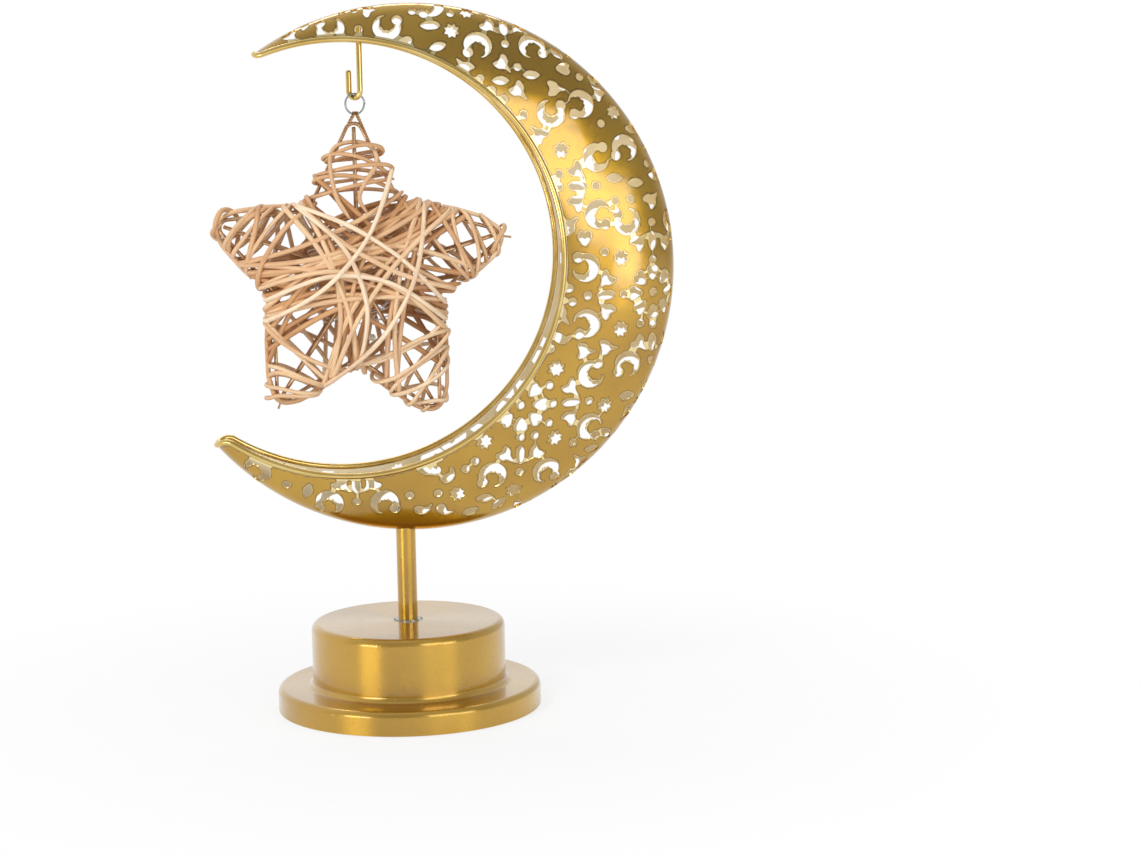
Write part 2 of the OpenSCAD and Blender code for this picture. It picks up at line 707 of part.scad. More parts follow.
// The track that the wire takes at a horn, seen from the front
module horn_track(plan) {
    wide = rim_d / 2 + rim_gap;
    out = [for (i = [0:len(plan) - 1]) let (v = unit(chord(plan, i))) wide * [-v.y, v.x]];
    last = len(plan) - 1;
    translate([0, 0, -over]) linear_extrude(belly_half + 2 * over) polygon(concat(
        [for (i = [0:last]) plan[i] + out[i]],
        [for (i = [0:last]) plan[last - i] - out[last - i]]
    ));
}

module pierced_sheet(shift) {
    difference() {
        rotate([0, 0, horn_from]) rotate_extrude(angle = horn_to - horn_from) crescent_section();
        translate([mouth_at.x, mouth_at.y, -over])
            cylinder(r = mouth_r + rim_d / 2 + rim_gap, h = belly_half + 2 * over, $fn = fine_fn);
        horn_track(low_plan);
        horn_track(high_plan);
        filigree(shift);
    }
}

module post_hole() {
    translate([0, 0, post_top - over]) cylinder(d = tube_d + 2 * tube_gap, h = edge_r);
}

module crescent_front() color(gold) difference() {
    crescent_place() pierced_sheet([0, 0]);
    post_hole();
}

module crescent_rear() color(gold) difference() {
    crescent_place() mirror([0, 0, 1]) pierced_sheet([rear_shift_x, -rear_shift_z]);
    post_hole();
}

// The wire is one bent loop: forward along the front's mouth, back along the rear's
module rim_half() {
    strand(rim_path, rim_d, 8, [0, 0, 1], [0, 0, -1]);
}

module rim_wire() color(pale_gold) crescent_place() {
    rim_half();
    mirror([0, 0, 1]) rim_half();
}

// Hook and ring
hang_off = 0.8; // the hook stands this far to the right of the star's middle
hook_weld_share = 0.25; // of its wire, how far the hook is short of the sheet it is brazed to
seat_x = star_x + hang_off;
hook_z = star_z + hook_drop;
shank_at = [seat_x + hook_bend_r * cos(hook_turn), -hook_bend_r * sin(hook_turn)];
shank_top = crescent_z + sqrt(pow(crescent_r - edge_r, 2) - pow(shank_at.x - crescent_x, 2))
    + sqrt(pow(edge_r - sheet_t, 2) - pow(abs(shank_at.y) + hook_d / 2, 2)) - hook_d * hook_weld_share;

module hook() color(pale_gold) translate([seat_x, 0, hook_z + hook_bend_r]) rotate([0, 0, -hook_turn]) {
    rotate([90, 0, 0]) rotate([0, 0, 180])
        rotate_extrude(angle = 180) translate([hook_bend_r, 0]) circle(d = hook_d);
    translate([hook_bend_r, 0, 0]) cylinder(d = hook_d, h = shank_top - hook_z - hook_bend_r);
    translate([-hook_bend_r, 0, 0]) cylinder(d = hook_d, h = hook_tip_h);
    translate([-hook_bend_r, 0, hook_tip_h]) sphere(d = hook_d);
}

ring_turn = 20; // degrees that the ring's plane stands out of the star's
ring_z = hook_z + hook_d / 2 + link_gap + ring_d / 2 - ring_r;
module hanger_ring() color("#bfc1c2") translate([seat_x, 0, ring_z]) rotate([90, 0, ring_turn])
    rotate_extrude() translate([ring_r, 0]) circle(d = ring_d);

// Star, in its own plane: +Z points out of its front. Arm 0 points up, the rest follow to the left
arms = 5;
arm_angles = [90, 158, 236, 299.5, 375.6];
arm_shares = [1.03, 0.98, 0.97, 1.02, 0.99]; // of the star's radius, each arm's length
notch_angles = [58, 125, 188, 267.6, 344.6]; // the notch to the right of each arm
notch_shares = [0.58, 0.567, 0.588, 0.568, 0.564]; // of the star's radius
winding_order = [0, 3, 1, 4, 2];
arm_end_shares = [0.925, 0.985, 0.985, 0.985, 0.985]; // of each arm, where its winding ends
end_half_shares = [0.1, 0.046, 0.046, 0.046, 0.046]; // of the star's radius, half the winding's width there
wrap_start_share = 0.04; // of an arm's side, where its winding starts
tip_centre_share = 0.894;
tip_wire_r = 3.6;
weld_d = 2.4; // a bead of weld where two frame wires meet
tip_weld_d = 3.5; // the bead that joins two ribs to the tip's wire
tip_weld_in = 1.6; // the bead lies this far inside that wire
rib_tip_z = 0.85; // height of a rib's outer end in its bead
rib_rings = 8;
tip_rings = 8;
bead_sides = 12;
hub_d = 3.6;
notch_inset = 2.8; // how far the frame's notch lies inside the winding's
clear = strand_d / 2 + frame_d / 2 + strand_gap;

module star_place() {
    translate([star_x, 0, star_z]) rotate([90, 0, 0]) children();
}

function arm_point(i, share) = polar(arm_angles[i], share * arm_shares[i] * star_r);
function notch(i) = polar(notch_angles[i % arms], notch_shares[i % arms] * star_r);
function arm_side(i, side, t) = mix(
    notch(side > 0 ? i + 1 : i),
    arm_point(i, arm_end_shares[i]) + polar(arm_angles[i] + 90, side * end_half_shares[i] * star_r),
    t
);
function rib_reach(i) = tip_centre_share * arm_shares[i] * star_r + tip_wire_r - tip_weld_in;
rib_fall = frame_half - rib_tip_z;
function rib_r(i) = (pow(rib_reach(i), 2) + pow(rib_fall, 2)) / (2 * rib_fall);
function rib_height(i, a) = frame_half - rib_r(i) + sqrt(pow(rib_r(i), 2) - a * a);

// Rattan: each arm in turn is wound from its notches to its tip, then the strand crosses the star
wrap_rings = 24; // rings of the tube in one turn
cross_rings = 14;
last_rings = 11; // the last crossing is tucked in before its end
layer_gap = 0.5;
skip_rings = 8;
function wrap_way(k) = k % 2 == 0 ? 1 : -1;
function wrap_point(k, turn) =
    let (
        i = winding_order[k % arms], t = mix(wrap_start_share, 1, turn / arm_turns),
        right = arm_side(i, -1, t), left = arm_side(i, 1, t), mid = (right + left) / 2
    )
    concat(
        mid + (right - left) / 2 * cos(360 * turn),
        wrap_way(k) * (rib_height(i, norm(mid)) + clear) * sin(360 * turn)
    );
function cross_height(k) =
    frame_half + hub_d / 2 + strand_d / 2 + layer_gap + floor(k / 2) * (strand_d + layer_gap);
function eased(a) = (1 - sign(cos(a)) * sqrt(abs(cos(a)))) / 2;
function cross_point(k, a) =
    let (from = wrap_point(k, arm_turns), to = wrap_point(k + 1, 0), u = eased(a))
    [mix(from.x, to.x, u), mix(from.y, to.y, u), wrap_way(k) * cross_height(k) * sqrt(sin(a))];
winding_path = [
    for (k = [0:arms - 1]) each concat(
        [for (j = [0:arm_turns * wrap_rings]) wrap_point(k, j / wrap_rings)],
        [for (j = [1:k == arms - 1 ? last_rings : cross_rings - 1]) cross_point(k, 180 * j / cross_rings)]
    )
];

function reach_to(p, a, b) =
    let (v = b - a, t = max(0, min(1, (p - a) * v / (v * v)))) norm(p - mix(a, b, t));
function least_gap(pts) = min([
    for (i = [0:len(pts) - 1], j = [i + skip_rings:len(pts) - 2]) reach_to(pts[i], pts[j], pts[j + 1])
]);

module rattan_winding() color(rattan) star_place() {
    echo(least_gap_between_strands = least_gap(winding_path) - strand_d);
    strand(winding_path, strand_d);
}

// Frame: an iron outline with a rib to each tip at the front and the rear
module rod(from, to, d) {
    v = to - from;
    translate(from) rotate([0, acos(v.z / norm(v)), atan2(v.y, v.x)]) cylinder(d = d, h = norm(v));
}

function notch_at(i) = notch(i) - notch_inset * unit(notch(i));
function tangent(i, side) =
    let (c = arm_point(i, tip_centre_share), v = notch_at(side > 0 ? i + 1 : i) - c)
    atan2(v.y, v.x) - side * acos(tip_wire_r / norm(v));
function arc_turn(i) = tangent(i, 1) - tangent(i, -1);

function tip_point(i, u) =
    let (p = arm_point(i, tip_centre_share)
        + polar(tangent(i, -1) + u * (arc_turn(i) - 360 * floor(arc_turn(i) / 360)), tip_wire_r))
    [p.x, p.y, 0];
function notch_place(i, to, inset) =
    let (p = notch_at(i), q = p + inset * unit([to.x, to.y] - p)) [q.x, q.y, 0];
outline_path = concat(
    [notch_place(0, tip_point(0, 0), weld_d / 4)],
    [for (i = [0:arms - 1]) each concat(
        i > 0 ? [notch_place(i, [star_r, 0], 0)] : [],
        [for (j = [0:tip_rings]) tip_point(i, j / tip_rings)]
    )],
    [notch_place(0, tip_point(arms - 1, 1), weld_d / 4)]
);
function rib_path(i, side) = [
    for (j = [0:rib_rings])
        let (a = mix(weld_d / 4, rib_reach(i), j / rib_rings), p = polar(arm_angles[i], a))
        [p.x, p.y, side * rib_height(i, a)]
];

module star_frame() color("#6b5a48") star_place() {
    strand(outline_path, frame_d);
    translate(notch_at(0)) sphere(d = weld_d, $fn = bead_sides);
    for (i = [0:arms - 1]) {
        translate(polar(arm_angles[i], rib_reach(i))) sphere(d = tip_weld_d, $fn = bead_sides);
        for (side = [-1, 1]) strand(rib_path(i, side), frame_d);
    }
    for (side = [-1, 1]) translate([0, 0, side * frame_half]) sphere(d = hub_d, $fn = bead_sides);
}

// Lights: one wire that runs from notch to notch inside the frame, with two beads in each lobe
led_mid_r = 13;
lobe_rings = 8;
bead_gap = 0.1;
function led_out_r(i) = norm(notch_at(i)) - weld_d / 2 - led_d / 2 - bead_gap;
function led_angle(i, u) = mix(notch_angles[i], notch_angles[(i + 1) % arms] + (i + 1 < arms ? 0 : 360), u);
function led_point(i, u) = polar(
    led_angle(i, u),
    mix(led_mid_r, led_out_r(u < 0.5 ? i : (i + 1) % arms), (1 + cos(360 * u)) / 2)
);
function led_place(n) =
    let (i = floor(n / lobe_rings), p = led_point(i % arms, n / lobe_rings - i)) [p.x, p.y, 0];

module led_wire() color("#c4c6c8") star_place()
    strand([for (n = [0:arms * lobe_rings - 1]) led_place(n)], led_d);

module led_beads() color("#fff2c9") star_place() {
    for (n = [1:lobe_rings / 2:arms * lobe_rings - 1]) {
        v = unit(led_place(n + 1) - led_place(n));
        at = (led_place(n) + led_place(n + 1)) / 2;
        translate(at) rotate([90, 0, atan2(v.y, v.x) + 90]) rotate_extrude() difference() {
            circle(d = bead_d);
            translate([-bead_d, -bead_d]) square([bead_d + led_d / 2 + bead_gap, 2 * bead_d]);
        }
    }
}

// Ties: two hairpins over the ring's lowest wire, their legs clasping the frame's top tip
tie_side = 0.65;
tie_bend_r = ring_d / 2 + tie_d / 2 + link_gap;
tie_foot = [3.1, 1.6]; // across the arm, and out of the star's plane
weld_share = 1.15; // of the wire's diameter, the small bead at each bend
tie_rise = 1.5; // the feet's height above the middle of the tip's round

module star_ties() color("#9a9c9d") {
    low = [seat_x, 0, ring_z - ring_r];
    foot_z = star_z + norm(arm_point(0, tip_centre_share)) + tie_rise;
    for (side = [-1, 1]) {
        top = low + side * tie_side * [cos(ring_turn), sin(ring_turn), 0];
        translate(top) rotate([0, 0, ring_turn + 90]) rotate([90, 0, 0])
            rotate_extrude(angle = 180) translate([tie_bend_r, 0]) circle(d = tie_d);
        for (m = [-1, 1]) {
            from = top + m * tie_bend_r * [-sin(ring_turn), cos(ring_turn), 0];
            to = [star_x + side * tie_foot.x, m * tie_foot.y, foot_z];
            short = tie_d / 8 * unit(to - from);
            translate(from) sphere(d = tie_d * weld_share);
            rod(from + short, to, tie_d);
        }
    }
}

base_cover();
base_plate();
plate_bosses();
plate_screws();
foot_ring();
battery_door();
battery_cells();
contact_springs();
contact_plates();
switch_body();
switch_slider();
post();
threaded_tube();
base_nut();
base_washer();
post_washer();
crescent_washer();
crescent_nut();
crescent_front();
crescent_rear();
rim_wire();
hook();
hanger_ring();
star_ties();
star_frame();
rattan_winding();
led_wire();
led_beads();
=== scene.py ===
# Looks of the crescent ornament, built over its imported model
import json
import math
import random
import bpy
import numpy as np
from mathutils import Matrix, Vector
from mathutils.geometry import delaunay_2d_cdt
from mathutils.kdtree import KDTree


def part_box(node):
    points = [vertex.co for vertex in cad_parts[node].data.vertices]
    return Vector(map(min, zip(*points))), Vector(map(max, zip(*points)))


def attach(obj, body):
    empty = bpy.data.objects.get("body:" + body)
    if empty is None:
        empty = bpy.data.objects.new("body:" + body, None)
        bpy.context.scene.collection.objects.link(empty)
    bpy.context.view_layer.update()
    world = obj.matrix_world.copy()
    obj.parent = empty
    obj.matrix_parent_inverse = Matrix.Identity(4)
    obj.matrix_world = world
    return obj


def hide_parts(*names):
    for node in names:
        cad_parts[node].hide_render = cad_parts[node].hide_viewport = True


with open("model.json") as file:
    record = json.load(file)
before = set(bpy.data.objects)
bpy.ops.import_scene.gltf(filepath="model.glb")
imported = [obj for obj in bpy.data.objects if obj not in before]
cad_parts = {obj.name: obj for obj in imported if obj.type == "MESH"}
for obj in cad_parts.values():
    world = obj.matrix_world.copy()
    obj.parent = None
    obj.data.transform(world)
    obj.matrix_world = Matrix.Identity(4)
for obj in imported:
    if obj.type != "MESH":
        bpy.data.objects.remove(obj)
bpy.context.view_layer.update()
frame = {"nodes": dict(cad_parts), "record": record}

mm = 0.001
scene = bpy.context.scene
bpy.ops.object.select_all(action="DESELECT")
scene.view_settings.view_transform = "Standard"

# Camera, fitted to the photograph. Places in mm, roll in degrees
view = {
    "place": (-42.05, -1070.1, 269.9),
    "aim": (71.75, 0.0, 118.64),
    "roll": -1.04, "lens": 79.78, "sensor": 36, "near": 10,
}


def setCamera():
    place, aim = Vector(view["place"]) * mm, Vector(view["aim"]) * mm
    look = (aim - place).normalized()
    right = look.cross(Vector((0, 0, 1))).normalized()
    up = right.cross(look)
    c, s = math.cos(math.radians(view["roll"])), math.sin(math.radians(view["roll"]))
    axes = Matrix((c * right + s * up, c * up - s * right, -look)).transposed().to_4x4()
    bpy.ops.object.camera_add()
    camera = bpy.context.object
    camera.name = "photoCamera"
    camera.matrix_world = Matrix.Translation(place) @ axes
    camera.data.sensor_fit = "HORIZONTAL"
    camera.data.sensor_width = view["sensor"]
    camera.data.lens = view["lens"]
    camera.data.clip_start = view["near"] * mm
    scene.camera = camera


# Nodes and colours
def linear(code):
    values = [int(code[i : i + 2], 16) / 255 for i in (1, 3, 5)]
    return tuple(v / 12.92 if v <= 0.04045 else ((v + 0.055) / 1.055) ** 2.4 for v in values) + (1.0,)


def feed(tree, node, inputs):
    # A key is a socket's name with _ for a space, or i and the socket's number
    for key, value in inputs.items():
        numbered = key[0] == "i" and key[1:].isdigit()
        socket = node.inputs[int(key[1:]) if numbered else key.replace("_", " ")]
        if isinstance(value, bpy.types.Node):
            value = value.outputs[0]
        if isinstance(value, bpy.types.NodeSocket):
            tree.links.new(value, socket)
        else:
            socket.default_value = value


def addNode(tree, kind, settings=None, stops=(), **inputs):
    node = tree.nodes.new("ShaderNode" + kind)
    for key, value in (settings or {}).items():
        setattr(node, key, value)
    feed(tree, node, inputs)
    if stops:
        band = node.color_ramp.elements
        while len(band) < len(stops):
            band.new(0.5)
        for element, (place, code) in zip(band, stops):
            element.position = place
            element.color = linear(code)
    return node


numberMix = {"data_type": "FLOAT"}
colourMix = {"data_type": "RGBA"}
colourProduct = {"data_type": "RGBA", "blend_type": "MULTIPLY"}
product = {"operation": "MULTIPLY"}
larger = {"operation": "MAXIMUM"}


def newMaterial(name, **inputs):
    material = bpy.data.materials.new(name)
    material.use_nodes = True
    tree = material.node_tree
    tree.nodes.clear()
    shader = addNode(tree, "BsdfPrincipled", **inputs)
    addNode(tree, "OutputMaterial", Surface=shader)
    return material, tree, shader


noiseSpan = (0.3, 0.7)  # nearly all of a noise lies between these


def grain(tree, size, detail, rough=0.5):
    # Noise on the piece's own coordinates, with patches of a size in mm
    place = addNode(tree, "TexCoord").outputs["Object"]
    return addNode(tree, "TexNoise", Vector=place, Scale=1 / (size * mm), Detail=detail, Roughness=rough)


def setSurface(tree, shader, colour, fine, rough, span=noiseSpan, height=None, depth=0.0):
    # Colour, roughness that follows the fine grain, and relief of a depth in mm
    worn = addNode(tree, "MapRange", Value=fine, i1=span[0], i2=span[1], i3=rough[0], i4=rough[1])
    feed(tree, shader, {"Base Color": colour, "Roughness": worn})
    if depth:
        feed(tree, shader, {"Normal": addNode(tree, "Bump", Height=height, Distance=depth * mm)})


# Metals, by slot: name, colours from the darkest patch to the palest, roughness, depth and size of the soft
# dents in mm, lacquer, and how far the gloss is drawn out by spinning
metals = {
    # Plated sheet under clear lacquer: a deep yellow, faintly wavy gloss with a sharper one above it
    "gold_sheet": ("lacqueredGoldSheet", "#b38612", "#be9116", "#ca9e20", 0.24, 0.9, 33.333, 1.0, 0),
    # The sheet's inner face, which the press leaves dull: a pale, milky gold
    "gold_inside": ("dullGoldInside", "#e8d4a4", "#f1e0b8", "#f8ecd0", 0.46, 0.6, 25, 0, 0),
    # Spun brass under lacquer: upright bands of light that stay put round the drum
    "gold_satin": ("satinGold", "#bc8e1a", "#c89920", "#d2a52c", 0.3, 0.04, 38.46, 1.0, 0.8),
    # Polished and plated wire: a pale line of light along each bend
    "gold_bright": ("brightGold", "#d6b25c", "#e2c06c", "#edd085", 0.13, 0.2, 16.667, 0.4, 0),
    # Zinc-plated hardware: an even bluish grey with a soft gloss
    "zinc": ("zincPlate", "#a9aaa6", "#b6b7b3", "#c3c4c0", 0.3, 0.2, 5, 0, 0),
    # Bare steel: darker and duller than the zinc
    "steel": ("plainSteel", "#8f8f8c", "#9b9b98", "#a8a8a4", 0.34, 0.2, 5, 0, 0),
    # Nickel plate on spring wire: a dark, sharp mirror
    "nickel": ("nickelPlate", "#7e7f81", "#939496", "#abacae", 0.16, 0.1, 6.667, 0, 0),
    # Coppered iron wire: a warm brown close to the rattan's own colour
    "iron_wire": ("copperedWire", "#b48a62", "#cba37a", "#e0bd96", 0.34, 0.1, 3.333, 0, 0),
    # Silvered copper wire: short white glints between the strands
    "silver_wire": ("silveredCopper", "#e0e0e0", "#ececec", "#f6f6f6", 0.42, 0.1, 3.333, 0, 0),
}

# What the metals share: grain in mm, the lacquer, and where along the noise colour and roughness change
metalSurface = {
    "grain": 1.6667,  # drawn coarser than real so that it shows
    "coatRough": 0.1, "coatIor": 1.7, "spunTurn": 0.25,
    "colourAt": (0.3, 0.5, 0.72),
    "roughAt": (0.3, 0.75), "roughShares": (0.88, 1.16),
}


def metalFinish(name, dark, mid, pale, rough, dent, dentSize, lacquer, spun):
    look = metalSurface
    material, tree, shader = newMaterial(
        name, Metallic=1, Coat_Weight=lacquer, Coat_Roughness=look["coatRough"], Coat_IOR=look["coatIor"]
    )
    if spun:
        ring = addNode(tree, "Tangent", {"direction_type": "RADIAL", "axis": "Z"})
        feed(tree, shader, {"Anisotropic": spun, "Anisotropic Rotation": look["spunTurn"], "Tangent": ring})
    broad, fine = grain(tree, dentSize, 2.5), grain(tree, look["grain"], 3, 0.6)
    colour = addNode(tree, "ValToRGB", stops=[*zip(look["colourAt"], (dark, mid, pale))], Fac=broad)
    roughs = [rough * share for share in look["roughShares"]]
    setSurface(tree, shader, colour, fine, roughs, look["roughAt"], broad, dent)
    return material


# Painted shade and a painted highlight along each cut, by the share of the way from the sheet's face to its
# edge
cutShadeAndHighlight = {
    "dark": "#7d5c16", "darkAt": (0.4, 0.65), "darkShare": 0.75, "bright": "#f3dc9a",
    "brightAt": (0.8, 1),
}


def paintCutShadeAndHighlight(material):
    # A painted shadow a little way in from each cut, and a painted highlight right at the cut's edge
    tree = material.node_tree
    shader = tree.nodes["Principled BSDF"]
    edge = addNode(tree, "Attribute", {"attribute_name": "cutEdge"}).outputs["Fac"]
    colour = shader.inputs["Base Color"].links[0].from_socket
    # Painted shade first, then the painted highlight over it
    for line, share in (("dark", cutShadeAndHighlight["darkShare"]), ("bright", 1)):
        start, end = cutShadeAndHighlight[line + "At"]
        part = addNode(tree, "MapRange", Value=edge, i1=start, i2=end, i4=share)
        tint = linear(cutShadeAndHighlight[line])
        colour = addNode(tree, "Mix", colourMix, i0=part, i6=colour, i7=tint).outputs[2]
    feed(tree, shader, {"Base Color": colour})


# Plastics and foam, by slot: name, darkest and palest colour, roughness, size and depth of the grain in mm,
# drawn coarser than real so that it shows
plains = {
    # Moulded plastic: black with a short, soft gloss
    "black_plastic": ("mouldedBlack", "#141414", "#1d1d1d", 0.5, 0.6667, 0.06),
    # Moulded plastic: off-white and a little glossier
    "white_plastic": ("mouldedWhite", "#dcdcd8", "#e8e8e4", 0.42, 0.8333, 0.04),
    # Cut foam: matt, with open pores
    "black_foam": ("blackFoam", "#1b1b1b", "#2c2c2c", 0.9, 0.4545, 0.3),
    # Shrunk sleeve of a cell: a smooth, dark green gloss
    "cell_wrap": ("cellWrap", "#2c4a3a", "#35584a", 0.35, 3.333, 0.02),
}


def plainFinish(name, dark, pale, rough, size, depth):
    material, tree, shader = newMaterial(name)
    noise = grain(tree, size, 4, 0.6)
    colour = addNode(tree, "ValToRGB", stops=[*zip(noiseSpan, (dark, pale))], Fac=noise)
    setSurface(tree, shader, colour, noise, (rough * 0.85, rough * 1.15), height=noise, depth=depth)
    return material


# Cast clear resin: small glassy drops, faintly milky. The size of the clouds is in mm
resin = {
    "clouds": 1.4286, "clear": 0.9, "ior": 1.5,
    "colours": ((0.35, "#fffdf5"), (0.7, "#f6efd6")),
    "rough": (0.04, 0.16),
}


def resinFinish():
    clear, ior = resin["clear"], resin["ior"]
    material, tree, shader = newMaterial("clearBeadResin", Transmission_Weight=clear, IOR=ior)
    cloud = grain(tree, resin["clouds"], 2)
    colour = addNode(tree, "ValToRGB", stops=resin["colours"], Fac=cloud)
    setSurface(tree, shader, colour, cloud, resin["rough"])
    return material


# Peeled and split rattan: dry, satin and pale, with fine fibres along each strand, a tone for each strand
# that is partly its own and partly painted shade on the deeper strands, and darker patches. The scales are
# round the strand and along it, for each 10 mm
rattan = {
    "tones": ((0.0, "#bf8a58"), (0.25, "#d2a372"), (0.55, "#e3ba8e"), (0.8, "#edcca3"), (1.0, "#f6e0c1")),
    "fibres": (14, 0.7, 1),
    "fibreColours": ((0.32, "#a86f42"), (0.5, "#ffffff"), (0.75, "#fff6e6")),
    "fibreShare": 0.32,
    "patches": (0.8, 0.35, 1),
    "patchColours": ((0.3, "#c08d62"), (0.55, "#ffffff")),
    "patchShare": 0.45, "rough": (0.38, 0.6), "relief": 0.12,
}


def rattanFinish():
    material, tree, shader = newMaterial("peeledRattan")
    uv = addNode(tree, "UVMap", {"uv_map": "strandUv"})
    # The tone carries each strand's own tone and, on the crossing strands, painted shade by depth
    tone = addNode(tree, "Attribute", {"attribute_name": "tone"}).outputs["Fac"]
    colour = addNode(tree, "ValToRGB", stops=rattan["tones"], Fac=tone)
    noises = []
    for scale, detail in ((rattan["fibres"], 3), (rattan["patches"], 2)):
        along = addNode(tree, "Mapping", Vector=uv, Scale=scale)
        noises.append(addNode(tree, "TexNoise", Vector=along, Scale=1.0, Detail=detail))
    for noise, kind in zip(noises, ("fibre", "patch")):
        tint = addNode(tree, "ValToRGB", stops=rattan[kind + "Colours"], Fac=noise)
        share = rattan[kind + "Share"]
        colour = addNode(tree, "Mix", colourProduct, i0=share, i6=colour, i7=tint).outputs[2]
    setSurface(tree, shader, colour, noises[0], rattan["rough"], height=noises[0], depth=rattan["relief"])
    return material


def dressNodes():
    finishes = {slot: metalFinish(*row) for slot, row in metals.items()}
    finishes.update({slot: plainFinish(*row) for slot, row in plains.items()})
    finishes["bead_resin"] = resinFinish()
    finishes["rattan"] = rattanFinish()
    # Paints shade and a highlight along the cuts of the gold sheet
    paintCutShadeAndHighlight(finishes["gold_sheet"])
    for part in frame["record"]["subparts"]:
        node, finish = frame["nodes"][part["node"]], finishes[part["material_slot"]]
        if not node.material_slots:
            node.data.materials.append(finish)
        for place in node.material_slots:
            place.material = finish
    return finishes


# Floor and light, in metres and watts, with the floor's specks in mm
stage = {
    "floorHalf": 4.0,
    "floor": ("#f1f1f0", "#f4f4f3"),
    "floorSpeck": 16.667, "backdrop": 1.0, "tint": "#f3f6fb", "ambient": 0.6,
    # Grading of the mirrored room along x, y and z: where it starts and ends, brightness at each
    "mirror": [(0.0, 0.5, 1.03, 0.68), (-0.75, 0.1, 0.52, 1.0), (0.25, 0.8, 1.0, 0.9)],
    "mirroredFloor": 0.6, "glowNear": 0.8, "glowFrom": 0.07, "glowTo": 0.3, "aimTop": 0.16,
    "lamps": [
        ("frontLamp", (0.6, -1.3, 0.47), (0.6, 0.66), 2.9),
        ("rightLamp", (0.86, -0.86, 0.24), (0.34, 0.46), 1.15),
        ("leftLamp", (-0.45, -0.42, 0.052), (0.24, 0.09), 0.5),
        ("topLamp", (0.0, 0.8, 1.15), (0.9, 0.14), 2.2),
        ("starLamp", (-0.75, -0.85, 1.05), (0.4, 0.4), 8.5),
    ],
}


def setWorld():
    # White where the camera looks at it, dimmer as light, and graded where metal mirrors it
    world = bpy.data.worlds.new("studio")
    scene.world = world
    world.use_nodes = True
    tree = world.node_tree
    tree.nodes.clear()
    path = addNode(tree, "LightPath").outputs
    ahead = addNode(tree, "TexCoord").outputs["Generated"]
    way = addNode(tree, "SeparateXYZ", Vector=ahead).outputs
    shine = 1.0
    for axis in (1, 2, 0):
        start, end, low, high = stage["mirror"][axis]
        level = addNode(tree, "MapRange", Value=way[axis], i1=start, i2=end, i3=low, i4=high)
        shine = addNode(tree, "Math", product, i0=shine, i1=level)
    seen = addNode(tree, "Math", larger, i0=path["Is Camera Ray"], i1=path["Is Transmission Ray"])
    light = addNode(tree, "Mix", numberMix, i0=path["Is Glossy Ray"], i2=stage["ambient"], i3=shine)
    strength = addNode(tree, "Mix", numberMix, i0=seen, i2=light, i3=stage["backdrop"])
    hue = addNode(tree, "Mix", colourMix, i0=seen, i6=linear(stage["tint"]), i7=linear("#ffffff"))
    back = addNode(tree, "Background", Color=hue.outputs[2], Strength=strength)
    addNode(tree, "OutputWorld", Surface=back)


def makeFloor():
    # Matt pale board: near white, and keeps the object's soft shadow close to the foot
    bpy.ops.mesh.primitive_plane_add(size=2 * stage["floorHalf"])
    floor = bpy.context.object
    floor.name = "floor"
    material, tree, shader = newMaterial("paleFloor", Roughness=0.7, Specular_IOR_Level=0.2)
    speck = grain(tree, stage["floorSpeck"], 3)
    colour = addNode(tree, "ValToRGB", stops=[*zip(noiseSpan, stage["floor"])], Fac=speck)
    feed(tree, shader, {"Base Color": colour})
    path = addNode(tree, "LightPath").outputs
    mirrored = addNode(tree, "Math", product, i0=path["Is Glossy Ray"], i1=stage["mirroredFloor"])
    seen = addNode(tree, "Math", larger, i0=path["Is Camera Ray"], i1=mirrored)
    place = addNode(tree, "TexCoord").outputs["Object"]
    far = addNode(tree, "VectorMath", {"operation": "LENGTH"}, i0=place)
    share = addNode(
        tree, "MapRange", {"interpolation_type": "SMOOTHSTEP"}, Value=far.outputs["Value"],
        i1=stage["glowFrom"], i2=stage["glowTo"], i3=stage["glowNear"],
    )
    part = addNode(tree, "Math", product, i0=seen, i1=share)
    glow = addNode(tree, "Emission", Strength=1.0)
    both = addNode(tree, "MixShader", Fac=part, i1=shader, i2=glow)
    feed(tree, tree.nodes["Material Output"], {"Surface": both})
    floor.data.materials.append(material)


def setLamps():
    for name, place, size, power in stage["lamps"]:
        bpy.ops.object.light_add(type="AREA", location=place)
        lamp = bpy.context.object
        lamp.name = name
        lamp.data.shape = "RECTANGLE"
        lamp.data.size, lamp.data.size_y = size
        lamp.data.energy = power
        lamp.visible_glossy = name != "starLamp"  # it lifts the rattan and leaves the gold alone
        aim = Vector((0, 0, min(place[2], stage["aimTop"])))
        lamp.rotation_euler = (aim - Vector(place)).to_track_quat("-Z", "Y").to_euler()


# Meshes, from points in mm
def newPiece(name, points, faces, material):
    mesh = bpy.data.meshes.new(name)
    mesh.from_pydata([tuple(p) for p in points * mm], [], [tuple(f) for f in faces])
    mesh.validate()
    piece = bpy.data.objects.new(name, mesh)
    scene.collection.objects.link(piece)
    mesh.materials.append(material)
    bpy.ops.object.select_all(action="DESELECT")
    piece.select_set(True)
    bpy.context.view_layer.objects.active = piece
    return piece


def unit(v):
    return v / max(np.linalg.norm(v), 1e-9)


def polar(degrees, radius):
    return np.array((math.cos(math.radians(degrees)), math.sin(math.radians(degrees)))) * radius


def turned(x, y, degrees):
    c, s = math.cos(math.radians(degrees)), math.sin(math.radians(degrees))
    return x * c - y * s, x * s + y * c


def angleOf(v):
    return math.degrees(math.atan2(v[1], v[0]))


def lengths(path):
    return np.r_[0, np.cumsum(np.linalg.norm(np.diff(path, axis=0), axis=1))]


